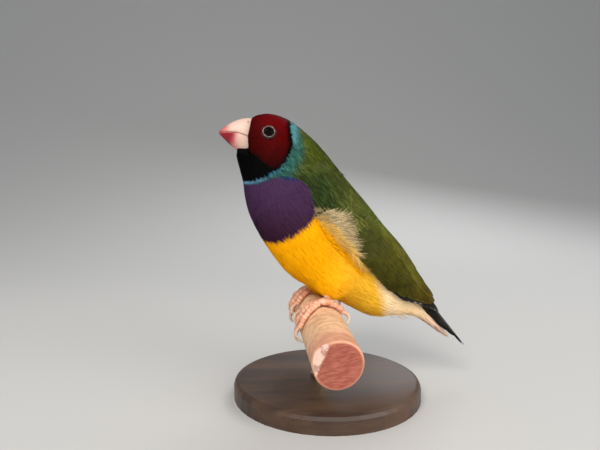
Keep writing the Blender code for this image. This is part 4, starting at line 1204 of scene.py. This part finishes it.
# Undertail coverts. Long soft cream feathers that run back from the vent and end in a point under the
# tail, over a thin core of skin.
UNDERTAIL_RINGS = (
    (32.0, 13.0, 26.6, 0.6, 6.4, 0.0),
    (36.6, 8.2, 32.0, 1.0, 5.6, 0.0),
    (40.8, 3.6, 37.0, 0.2, 4.6, 0.0),
    (45.0, -1.2, 42.2, -2.5, 3.4, 0.0),
    (48.8, -5.0, 47.0, -5.8, 2.2, 0.0),
    (52.0, -8.2, 51.2, -8.6, 0.8, 0.0),
)
CREAM_END = (0.780, 0.560, 0.440)
vent = Form(UNDERTAIL_RINGS)
core_form = Form([(*row[:4], row[4] * 0.82, row[5]) for row in UNDERTAIL_RINGS])
core_turn = np.arange(48) * 2 * math.pi / 48
core_rings = [core_form.lifted(u, core_turn, -0.25) for u in np.linspace(0, 4.6, 40)]
core = tube_mesh("undertail_core", core_rings)
stain(core, np.tile(np.multiply(CREAM, 0.8), (len(core.vertices), 1)))
add(core, soft_plumage, "undertail_coverts")
long_feather = barbed_feather("long_feather", 13, 0.9, 0.03, 0.40, 13, 0.5)


def evenly(share):
    """The same share of the full cover everywhere."""
    return lambda u, angle, points: np.full(u.shape, share)


def undertail_map(u, angle):
    return np.stack([0.05 + 0.9 * angle / (2 * math.pi), 0.05 + 0.9 * u / 4.6], -1)


def cream(places):
    """Cream at the vent, a little pinker and greyer towards the point."""
    return blend(CREAM, CREAM_END, (places[:, 0] - 36) / 12)


vent_bed = bed_of(
    vent, 0.0, 4.4, lambda u, angle: np.interp(u, [0, 3, 4.4], [6.5, 6.0, 5.0]), evenly(1.0),
    lambda u, angle: core_form.lifted(u, angle, -0.1), (60, 60), uv=undertail_map,
)
grow("undertail_feathers", vent_bed, long_feather, soft_plumage, 0.66, 0.20, 0.04, 0.45, 71, cream)


# Flank plumes. Loose pale barbs from the sides of the belly. They spread like a fan over the closed
# wing's lower edge, so fine that the dark wing shows between them, over short golden down. A few loose
# cream filaments of the same kind hang from the vent.
PLUME_ROOTS = (
    (-4.3, 38.1), (-0.6, 35.2), (2.3, 31.0), (7.3, 26.4), (11.0, 22.3), (12.9, 20.3), (12.5, 21.7),
    (10.9, 25.3), (9.4, 28.8), (7.6, 32.7), (6.4, 36.5), (4.2, 39.6), (0.5, 41.2), (-4.0, 41.5),
)
DOWN_ROOTS = (
    (-4.3, 38.1), (-1.4, 34.0), (1.2, 29.9), (6.3, 25.2), (10.0, 21.2), (12.9, 18.8), (12.5, 20.7),
    (10.4, 23.9), (8.2, 28.0), (6.4, 32.2), (5.2, 35.6), (3.2, 38.4), (0.2, 40.2), (-4.0, 41.0),
)
DOWN_GOLD = (0.760, 0.480, 0.110)
DOWN_GREY = (0.060, 0.052, 0.018)
PLUME_PALE = (0.460, 0.360, 0.200)
PLUME_GOLD = (0.760, 0.500, 0.150)


def plume_feather():
    """A plume 1 long: a few fine separate barbs that part from one quill and curve outward."""
    random = np.random.default_rng(14)
    points, faces, along, tone = [], [], [], []
    for k in range(6):
        side = (k + 0.5) / 6 * 2 - 1
        reach = random.uniform(0.40, 1.0)
        bright = random.random()
        start = len(points)
        for t in (0.0, 0.3, 0.6, 0.85, 1.0):
            x = side * (0.03 + 0.14 * t + 0.12 * t * t) + 0.03 * random.uniform(-1, 1) * t
            y = reach * t
            z = 0.05 * math.sin(math.pi * t) + 0.05 * random.uniform(-1, 1) * t
            half = 0.015 * (1 - 0.72 * t)
            points += [(x - half, y, z), (x + half, y, z)]
            along += [t, t]
            tone += [bright, bright]
        for step in range(4):
            a = start + 2 * step
            faces.append((a, a + 1, a + 3, a + 2))
    return loose_feather("plume", points, faces, along, tone)


plume = plume_feather()
plume_barbs = plumage_finish("plume_barbs", 0.75, 0.35, 0.85)


def above_belly(places):
    """How far each place is above the edge of the belly's yellow, negative below it."""
    x, z = places[:, 0], places[:, 2]
    return away(YELLOW_TOP[1:], x, z) * np.where(inside(BELLY, x, z), -1, 1)


def plume_tint(places):
    """The belly's yellow at its edge, then golden, then pale beige at the front and top."""
    above, high = above_belly(places), places[:, 2]
    color = blend(YELLOW, PLUME_GOLD, (above + 1.8) / 2.2)
    return blend(color, PLUME_PALE, (above - 1.0) / 2.6 + np.clip((high - 35) / 5, 0, 0.6) * (above > 0))


def down_tint(places):
    """Yellow on the belly, golden above its edge, then greyish under the plumes' tips."""
    above = above_belly(places)
    color = blend(YELLOW, DOWN_GOLD, (above + 1.8) / 2.4)
    return blend(color, DOWN_GREY, (above - 1.4) / 2.2)


def within(outline):
    """Full cover inside an outline of the bird's profile, and none outside it."""
    return lambda u, angle, points: inside(outline, points[..., 0], points[..., 2]) * 1.0


def plume_comb(u, angle):
    """Upward at the front, along the wing's edge further back."""
    places = [9.8, 10.1, 10.4, 10.9, 11.35, 11.7, 12.15, 12.6]
    return np.interp(u, places, [0.85, 1.0, 1.15, 1.0, 0.70, 0.35, 0.05, -0.10])


for side, name in SIDES:
    mirror = np.array([1, -side, 1])

    def plume_roots(u, angle):
        places = body.on(u, angle)
        above = away(DOWN_ROOTS[:6], places[..., 0], places[..., 2])
        edge = np.clip(np.where(angle > 1.75, 0, above / 3.2), 0, 1)
        return body.lifted(u, angle, -0.3 + 2.4 * edge * edge * (3 - 2 * edge)) * mirror

    for coat, feather, finish, reach, cover, tint, *setting in (
        ("flank_down", body_feather, soft_plumage, (2.6, 3.0, 2.8), within(DOWN_ROOTS), down_tint,
         0.46, 0.34, 0.05),
        ("flank_plumes", plume, plume_barbs, (4.2, 6.0, 4.2), within(PLUME_ROOTS), plume_tint,
         0.94, 1.0, 0.13),
    ):
        plume_bed = bed_of(
            body, 9.6, 13.1, lambda u, angle: np.interp(u, [9.9, 10.8, 12.8], reach), cover, plume_roots,
            (100, 80), columns=(0.95, 1.80), comb=plume_comb,
            uv=lambda u, angle: np.stack([0.1 + 0.5 * (angle - 0.9), 0.1 + 0.15 * (u - 9)], -1),
        )
        if side > 0:
            plume_bed.flip_normals()
        grow(f"{coat}_{name}", plume_bed, feather, finish, *setting, 0.8, 80 + side, tint)

loose_bed = bed_of(
    vent, 0.1, 1.1, lambda u, angle: np.full(u.shape, 5.5), evenly(0.5),
    lambda u, angle: core_form.lifted(u, angle, 0.2), (30, 40), columns=(2.2, 4.1), uv=undertail_map,
)
grow("vent_filaments", loose_bed, plume, plume_barbs, 1.3, 1.0, 0.45, 0.8, 90, cream)
for spare in (face_feather, body_feather, long_feather, plume):
    bpy.data.objects.remove(spare)


# Legs and feet. Bare scaly skin, peach pink, with scutes across the front of each toe, and curved horn
# claws that stand off the wood and come back to it at their points.
PERCH_RADIUS = 8.2
PERCH_TILT = math.radians(9.1)
PERCH_AXIS = np.array([0, math.cos(PERCH_TILT), math.sin(PERCH_TILT)])
PERCH_ABOVE = np.array([0, -math.sin(PERCH_TILT), math.cos(PERCH_TILT)])
AHEAD = np.array([1.0, 0, 0])
GAP = 0.3
FOOT_SPREAD = 8.6
TOE_RADIUS = 1.22
TOE_SIDES = 18
CLAW_SIDES = 14
HUB_SIZE = (3.0, 1.8, 1.4)
LEG_ENTERS_BELLY_AT = (12.4, 13.4)
CLAW_LENGTH = 5.0
CLAW_ARCH = 1.2
SHANK_RADIUS = 1.15
# Each toe's angles round the perch from its hub to its tip, its reach along the perch, and its size.
TOES = (
    ("hallux", 78, 34, -0.4, 1.0),
    ("inner", 102, 152, -4.4, 0.88),
    ("middle", 102, 186, 0.2, 1.0),
    ("outer", 102, 166, 4.6, 0.88),
)
FOOT_PINK = (0.880, 0.480, 0.310)
FOOT_RED = (0.640, 0.240, 0.130)
FOOT_PALE = (0.950, 0.680, 0.480)
CREASE_RED = (0.460, 0.110, 0.060)
CLAW_ROOT = (0.620, 0.360, 0.240)
CLAW_PALE = (0.860, 0.700, 0.520)
CLAW_TIP = (0.300, 0.190, 0.130)


def on_perch(along, angle, radius):
    """A place so far along the perch and from its middle, at an angle up from straight ahead of it."""
    return PERCH_AXIS * along + radius * (math.cos(angle) * AHEAD + math.sin(angle) * PERCH_ABOVE)


def hub(along):
    """Where a leg's toes meet, on top of the perch."""
    return on_perch(along, math.radians(86), PERCH_RADIUS + GAP + 1.6)


def swept_rings(path, radii, count, scutes=None):
    """Rings along a path, standing out by what scutes gives for each share of it and turn round it."""
    path = np.asarray(path, float)
    ahead = unit(np.gradient(path, axis=0))
    rings = []
    side = None
    turn = np.arange(count) * 2 * math.pi / count
    for i, (centre, direction, radius) in enumerate(zip(path, ahead, radii)):
        if side is None:
            side = unit(np.cross(direction, [0.3, 1.0, 0.2]))
        side = unit(side - direction * (side @ direction))
        other = np.cross(direction, side)
        rim = np.full(count, radius)
        if scutes is not None:
            rim = rim * scutes(i / (len(path) - 1), turn)
        right, up = rim * np.cos(turn), rim * np.sin(turn)
        rings.append(centre + right[:, None] * side + up[:, None] * other)
    return rings


def plates(count):
    """How far a ring of scaly skin stands out: a saw of overlapping plates with fine wrinkles."""

    def rim(share, turn):
        saw = (share * count) % 1.0
        return 1 + 0.09 * (1 - saw) ** 1.5 + 0.015 * np.cos(turn * 7)

    return rim


foot_skin = Finish("foot_skin", {"Specular IOR Level": 0.45})
cracked = {"Scale": 1300.0, "Randomness": 0.9}
cells = foot_skin.node("ShaderNodeTexVoronoi", {"feature": "DISTANCE_TO_EDGE"}, cracked)
blotch = foot_skin.noise(380.0, 3.0)
pink = foot_skin.mix(foot_skin.band(blotch, 0.3, 0.7), FOOT_RED, FOOT_PINK)
pink = foot_skin.mix(foot_skin.band(cells, 0.05, 0.30) * 0.55, pink, FOOT_PALE)
crease = foot_skin.attribute("crease") * (0.3 + 0.7 * foot_skin.band(blotch, 0.35, 0.6))
foot_skin.feed("Base Color", foot_skin.mix(crease * 0.75, pink, CREASE_RED))
foot_skin.feed("Roughness", 0.52 - 0.14 * blotch)
foot_skin.bump(cells, 0.6, 0.00012)
claw_horn = Finish("claw_horn", {"Specular IOR Level": 0.5})
claw_along = claw_horn.attribute("along")
streak = claw_horn.noise(900.0, 2.0)
pale_claw = claw_horn.mix(claw_horn.band(claw_along + streak * 0.3, 0.1, 0.9), CLAW_ROOT, CLAW_PALE)
near_point = claw_horn.band(claw_along, 0.82, 1.0) * 0.7
claw_horn.feed("Base Color", claw_horn.mix(near_point, pale_claw, CLAW_TIP))
claw_horn.feed("Roughness", 0.26 + 0.2 * streak)
claw_horn.bump(streak, 0.15, 0.00008)


for side, name in SIDES:
    parts, creases = [], []
    for toe, start, end, reach, size in TOES:
        share = np.linspace(0, 1, 64)
        joints = 1 + 0.10 * np.cos(share * 3 * 2 * math.pi)
        radii = TOE_RADIUS * size * joints * (1 - 0.22 * share)
        radii[-3:] *= (0.96, 0.85, 0.62)
        turn = np.radians(start + (end - start) * share)
        along = side * (FOOT_SPREAD + reach * np.sin(share * math.pi / 2))
        path = [on_perch(s, a, PERCH_RADIUS + GAP * 0.6 + r) for s, a, r in zip(along, turn, radii)]
        count = 7 if toe == "inner" else 9
        parts.append(tube_mesh("toe", swept_rings(path, radii, TOE_SIDES, plates(count))))
        saw = (share * count) % 1.0
        between = np.clip(np.maximum(0.22 - saw, saw - 0.86) / 0.14, 0, 1)
        creases.append(np.concatenate([np.repeat(between, TOE_SIDES), [0, 0]]))
        step = math.degrees(1 / (PERCH_RADIUS + 1.5))
        turning = math.copysign(1, end - start)
        claw_share = np.linspace(0, 1, 24)
        claw_turn = np.radians(end + turning * step * (0.1 - 0.5 * (1 - claw_share) + CLAW_LENGTH * claw_share))
        base = radii[-4]
        rise = PERCH_RADIUS + GAP + 0.2 + base * 0.8 * (1 - claw_share)
        rise = rise + CLAW_ARCH * np.sin(claw_share * math.pi)
        claw_path = [on_perch(along[-1], a, r) for a, r in zip(claw_turn, rise)]
        claw_radii = base * 0.74 * (1 - claw_share) ** 0.75 + 0.06
        claw = tube_mesh(f"claw_horn_{name}_{toe}", swept_rings(claw_path, claw_radii, CLAW_SIDES))
        paint(claw, "along", np.concatenate([np.repeat(claw_share, CLAW_SIDES), [0, 1]]))
        add(claw, claw_horn.material, f"claw_{name}_{toe}")
    ball, ball_faces = ball_points(16, 24)
    parts.append(mesh_of("pad", hub(side * FOOT_SPREAD) + ball * np.array(HUB_SIZE), ball_faces))
    creases.append(np.zeros(len(ball)))
    toes = turn_outward(bpy.data.meshes.new("toes_" + name), parts)
    paint(toes, "crease", np.concatenate(creases))
    add(toes, foot_skin.material, "foot_" + name)
    start = hub(side * FOOT_SPREAD)
    rise = (LEG_ENTERS_BELLY_AT[0 if side < 0 else 1] - start[2]) / LEG_LEAN[2]
    share = np.linspace(0.15, 1, 30)[:, None]
    path = start + LEG_LEAN * (rise + 5.0) * share
    radii = SHANK_RADIUS * (1 + 0.12 * (1 - share[:, 0]) ** 2)
    shank = tube_mesh("shank_" + name, swept_rings(path, radii, 20, plates(5)))
    add(shank, foot_skin.material, "leg_" + name)


# Peg. A short length of peeled branch, sawn square at its ends, pale tan with fine wrinkles round it.
# Its near end was dyed rose, and a chip there shows the pale wood.
PEG_ENDS = (-37.0, 19.0)
PEG_TAN = (0.600, 0.340, 0.190)
PEG_PALE = (0.920, 0.650, 0.400)
PEG_BROWN = (0.620, 0.330, 0.190)
PEG_DARK = (0.420, 0.210, 0.110)
PEG_ROSE = (0.520, 0.200, 0.130)
WORN_ROSE = (0.660, 0.300, 0.200)
SAWN_ROSE = (0.270, 0.062, 0.042)
SAWN_BRIGHT = (0.410, 0.125, 0.082)
SAWN_CLOUD = (0.500, 0.170, 0.120)
SAWN_RIM = (0.560, 0.220, 0.140)
CHIP_PALE = (0.820, 0.560, 0.450)
CHIP_ROSE = (0.500, 0.270, 0.220)
CHIP_SIDE = (-0.93, 0.365)
CHIP_FROM_MIDDLE = 5.15
PEG_SIDES = 120
WORN_RIM = (0.1, 0.25, 0.45, 0.7)
SAW_SLANT = 0.17
random = np.random.default_rng(9)
phases = random.uniform(0, 2 * math.pi, 12)


def peg_radius(s, turn):
    """The branch's slightly uneven radius, with ring-shaped wrinkles."""
    wave = 0.10 * np.cos(2 * turn + phases[0] + s * 0.05) + 0.06 * np.cos(3 * turn + phases[1] - s * 0.08)
    wrinkle = 0
    for k in range(5):
        bend = 1.2 * np.sin(turn * (1 + k % 3) + phases[2 + k])
        wrinkle = wrinkle + np.sin(s * (1.7 + 0.83 * k) + bend + phases[7 + k % 5])
    return PERCH_RADIUS - 0.12 + wave * 0.8 + 0.014 * wrinkle


def bevelled(s):
    """How much the rims are worn back near the sawn ends."""
    near = np.minimum(np.abs(s - PEG_ENDS[0]), np.abs(s - PEG_ENDS[1]))
    return np.clip(1 - near / 0.7, 0, 1) ** 2 * 0.5


turn = np.arange(PEG_SIDES) * 2 * math.pi / PEG_SIDES


def peg_ring(s, radius):
    """One ring of the peg. A piece has broken off the near end's rim and left a flat slanting facet."""
    right, up = radius * np.cos(turn), radius * np.sin(turn)
    cut = np.clip(right * CHIP_SIDE[0] + up * CHIP_SIDE[1] - CHIP_FROM_MIDDLE, 0, None)
    splinter = np.clip(cut * 3, 0, 0.12) * np.sin(right * 4.1 + up * 2.3) * np.cos(up * 5.2)
    shifted = s + (cut * 1.1 + splinter) * np.clip(1 - (s - PEG_ENDS[0]) / 20, 0, 1)
    ring = PERCH_AXIS * shifted[:, None] + right[:, None] * AHEAD + up[:, None] * PERCH_ABOVE
    return ring, np.clip(cut / 0.3, 0, 1)


stations = [(PEG_ENDS[0], share) for share in np.linspace(0.04, 0.97, 26)]
stations += [(PEG_ENDS[0] + worn, 1.0) for worn in (0, *WORN_RIM)]
stations += [(s, 1.0) for s in np.linspace(-36, 18, 160)]
stations += [(PEG_ENDS[1] - worn, 1.0) for worn in (*WORN_RIM[::-1], 0)]
rings, chips = [], []
for s, share in stations:
    ring, broken = peg_ring(s, (peg_radius(s, turn) - bevelled(s)) * share)
    rings.append(ring)
    chips.append(broken * (s < PEG_ENDS[0] + 0.15))
peg = tube_mesh("peg", rings)
along, out = np.repeat(np.array(stations), PEG_SIDES, 0).T
paint(peg, "along_peg", np.concatenate([along, PEG_ENDS]))
paint(peg, "out_peg", np.concatenate([out, [0.0, 0.0]]))
paint(peg, "chip", np.concatenate([*chips, [0.0, 0.0]]))
peg_wood = Finish("peg_wood", {"Specular IOR Level": 0.3})
along_peg = peg_wood.attribute("along_peg")
out_peg = peg_wood.attribute("out_peg")
place = peg_wood.place()
turned = peg_wood.mapped(place, Rotation=(-PERCH_TILT, 0.0, 0.0))
stretched = peg_wood.mapped(turned, Scale=(1.0, 2.6, 1.0))
long_grain = peg_wood.mapped(turned, Scale=(1.0, 0.12, 1.0))
slanted = peg_wood.mapped(place, Rotation=(0.0, SAW_SLANT, 0.0))
sawing = peg_wood.mapped(slanted, Scale=(0.16, 1.0, 1.0))
wrinkles = peg_wood.noise(230.0, 6.0, stretched, 0.7)
fibres = peg_wood.noise(900.0, 3.0, long_grain, 0.6)
saw_lines = peg_wood.noise(2100.0, 4.0, sawing, 0.7)
cloud = peg_wood.noise(90.0, 3.0, place)
cracks = peg_wood.noise(420.0, 4.0, place, 0.6)
tan = peg_wood.mix(peg_wood.band(wrinkles, 0.35, 0.72), PEG_TAN, PEG_PALE)
tan = peg_wood.mix(peg_wood.band(fibres, 0.5, 0.8) * 0.25, tan, PEG_BROWN)
tan = peg_wood.mix(peg_wood.band(wrinkles * 0.7 + cracks * 0.3, 0.56, 0.66) * 0.45, tan, PEG_DARK)
dyed = peg_wood.band((along_peg * -1.0) + (cloud - 0.5) * 9.0, 22.0, 35.0)
rose = peg_wood.mix(peg_wood.band(wrinkles, 0.3, 0.7), PEG_ROSE, WORN_ROSE)
tone = peg_wood.mix(dyed * 0.7, tan, rose)
sawn = peg_wood.mix(peg_wood.band(saw_lines, 0.38, 0.64), SAWN_ROSE, SAWN_BRIGHT)
sawn = peg_wood.mix(peg_wood.band(cloud + cracks * 0.4, 0.62, 0.9) * 0.35, sawn, SAWN_CLOUD)
sawn = peg_wood.mix(peg_wood.band(out_peg, 0.93, 0.99) * 0.7, sawn, SAWN_RIM)
on_face = peg_wood.band(along_peg * -1.0, 36.92, 36.98)
tone = peg_wood.mix(on_face, tone, sawn)
bare = peg_wood.mix(peg_wood.band(cracks, 0.42, 0.56), CHIP_ROSE, CHIP_PALE)
peg_wood.feed("Base Color", peg_wood.mix(peg_wood.attribute("chip"), tone, bare))
peg_wood.feed("Roughness", 0.62 + 0.2 * wrinkles)
reliefs = {0: on_face, 2: wrinkles + fibres * 0.5, 3: saw_lines + cracks * 0.3}
relief = peg_wood.node("ShaderNodeMix", {"data_type": "FLOAT"}, reliefs)
peg_wood.bump(relief, 0.5, 0.00035)
add(peg, peg_wood.material, "perch")


# Stand. A turned wooden disc, dark and satin, with a short brass rod screwed into it that carries the
# peg from below.
DARK_WOOD = (0.030, 0.016, 0.010)
FIGURED_WOOD = (0.085, 0.044, 0.024)
WOOD_PORES = (0.014, 0.008, 0.005)
BRASS_DARK = (0.500, 0.340, 0.140)
BRASS_BRIGHT = (0.660, 0.480, 0.220)
stand_wood = Finish("stand_wood", {"Specular IOR Level": 0.45, "Coat Roughness": 0.2})
lengthwise = stand_wood.mapped(stand_wood.place(), Scale=(0.15, 1.0, 1.0))
figure = stand_wood.noise(130.0, 6.0, lengthwise, 0.62)
pores = stand_wood.noise(1400.0, 2.0, lengthwise, 0.5)
dark = stand_wood.mix(stand_wood.band(figure, 0.3, 0.7), DARK_WOOD, FIGURED_WOOD)
dark = stand_wood.mix(stand_wood.band(pores, 0.62, 0.75) * 0.6, dark, WOOD_PORES)
stand_wood.feed("Base Color", dark)
stand_wood.feed("Roughness", 0.30 + 0.25 * figure)
stand_wood.bump(pores, 0.12, 0.00015)
stand_brass = Finish("stand_brass", {"Metallic": 1.0})
brushed = stand_brass.mapped(stand_brass.place(), Scale=(1.0, 1.0, 14.0))
lines = stand_brass.noise(700.0, 3.0, brushed)
stand_brass.feed("Base Color", stand_brass.mix(lines, BRASS_DARK, BRASS_BRIGHT))
stand_brass.feed("Roughness", 0.22 + 0.2 * lines)
stand_brass.bump(lines, 0.08, 0.00005)
for node, finish in (("stand_base", stand_wood), ("stand_rod", stand_brass)):
    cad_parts[node].data.materials.clear()
    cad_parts[node].data.materials.append(finish.material)


# Room. A pale floor that curves up behind the model, soft light from the upper left, a weaker fill, and
# the camera at the height and angle from which the bird was seen.
FLOOR_FRONT, FLOOR_BACK = -1.4, 0.3
FLOOR_SWEEP = 1.5
WALL_TOP = 2.6
FLOOR_HALF_WIDTH = 2.5
floor_profile = [(FLOOR_FRONT, 0.0), (FLOOR_BACK, 0.0)]
for turn in np.linspace(0.05, math.pi / 2, 30):
    back, rise = FLOOR_SWEEP * math.sin(turn), FLOOR_SWEEP - FLOOR_SWEEP * math.cos(turn)
    floor_profile.append((FLOOR_BACK + back, rise))
floor_profile.append((FLOOR_BACK + FLOOR_SWEEP, WALL_TOP))
floor_points = [(x, y, z) for y, z in floor_profile for x in (-FLOOR_HALF_WIDTH, FLOOR_HALF_WIDTH)]
floor_faces = [(2 * i, 2 * i + 1, 2 * i + 3, 2 * i + 2) for i in range(len(floor_profile) - 1)]
floor_mesh = bpy.data.meshes.new("floor")
floor_mesh.from_pydata(floor_points, [], floor_faces)
floor_mesh.shade_smooth()
floor = bpy.data.objects.new("floor", floor_mesh)
bpy.context.scene.collection.objects.link(floor)
paper = Finish("paper", {"Base Color": (0.52, 0.515, 0.50, 1.0), "Roughness": 0.9})
paper.bump(paper.noise(900.0, 3.0), 0.05, 0.0002)
floor_mesh.materials.append(paper.material)

world = bpy.data.worlds.new("room")
bpy.context.scene.world = world
world.use_nodes = True
sky = world.node_tree.nodes["Background"].inputs
sky["Color"].default_value = (0.92, 0.95, 1.0, 1.0)
sky["Strength"].default_value = 0.45
middle = Vector((0.0, 0.0, 0.05))
for name, place, power, size, color in (
    ("key", (-0.34, -0.52, 0.62), 4.6, 0.34, (1.0, 0.955, 0.90)),
    ("fill", (0.60, -0.55, 0.34), 4.0, 0.6, (1.0, 0.97, 0.93)),
    ("low", (0.02, -0.60, 0.07), 1.7, 0.4, (1.0, 0.96, 0.90)),
    ("rim", (0.35, 0.60, 0.60), 3.0, 0.4, (0.95, 0.97, 1.0)),
):
    lamp = bpy.data.lights.new(name, "AREA")
    lamp.energy = power
    lamp.size = size
    lamp.color = color
    holder = bpy.data.objects.new(name, lamp)
    holder.location = place
    holder.rotation_euler = (middle - Vector(place)).to_track_quat("-Z", "Y").to_euler()
    bpy.context.scene.collection.objects.link(holder)

VIEW_ANGLE = math.radians(-7.2)
VIEW_RISE = math.radians(1.6)
CAMERA_AT = (PEG_CENTRE + np.array([-28.5885, -168.6815, 40.5486])) * 0.001
camera = bpy.data.objects.new("camera", bpy.data.cameras.new("camera"))
camera.data.sensor_width = 36.0
camera.data.lens = 27.06
camera.data.clip_start = 0.005
level = math.cos(VIEW_RISE)
toward_camera = Vector((math.sin(VIEW_ANGLE) * level, -math.cos(VIEW_ANGLE) * level, math.sin(VIEW_RISE)))
camera.location = CAMERA_AT
camera.rotation_euler = toward_camera.to_track_quat("Z", "Y").to_euler()
bpy.context.scene.collection.objects.link(camera)
bpy.context.scene.camera = camera
bpy.context.scene.view_settings.view_transform = "Standard"
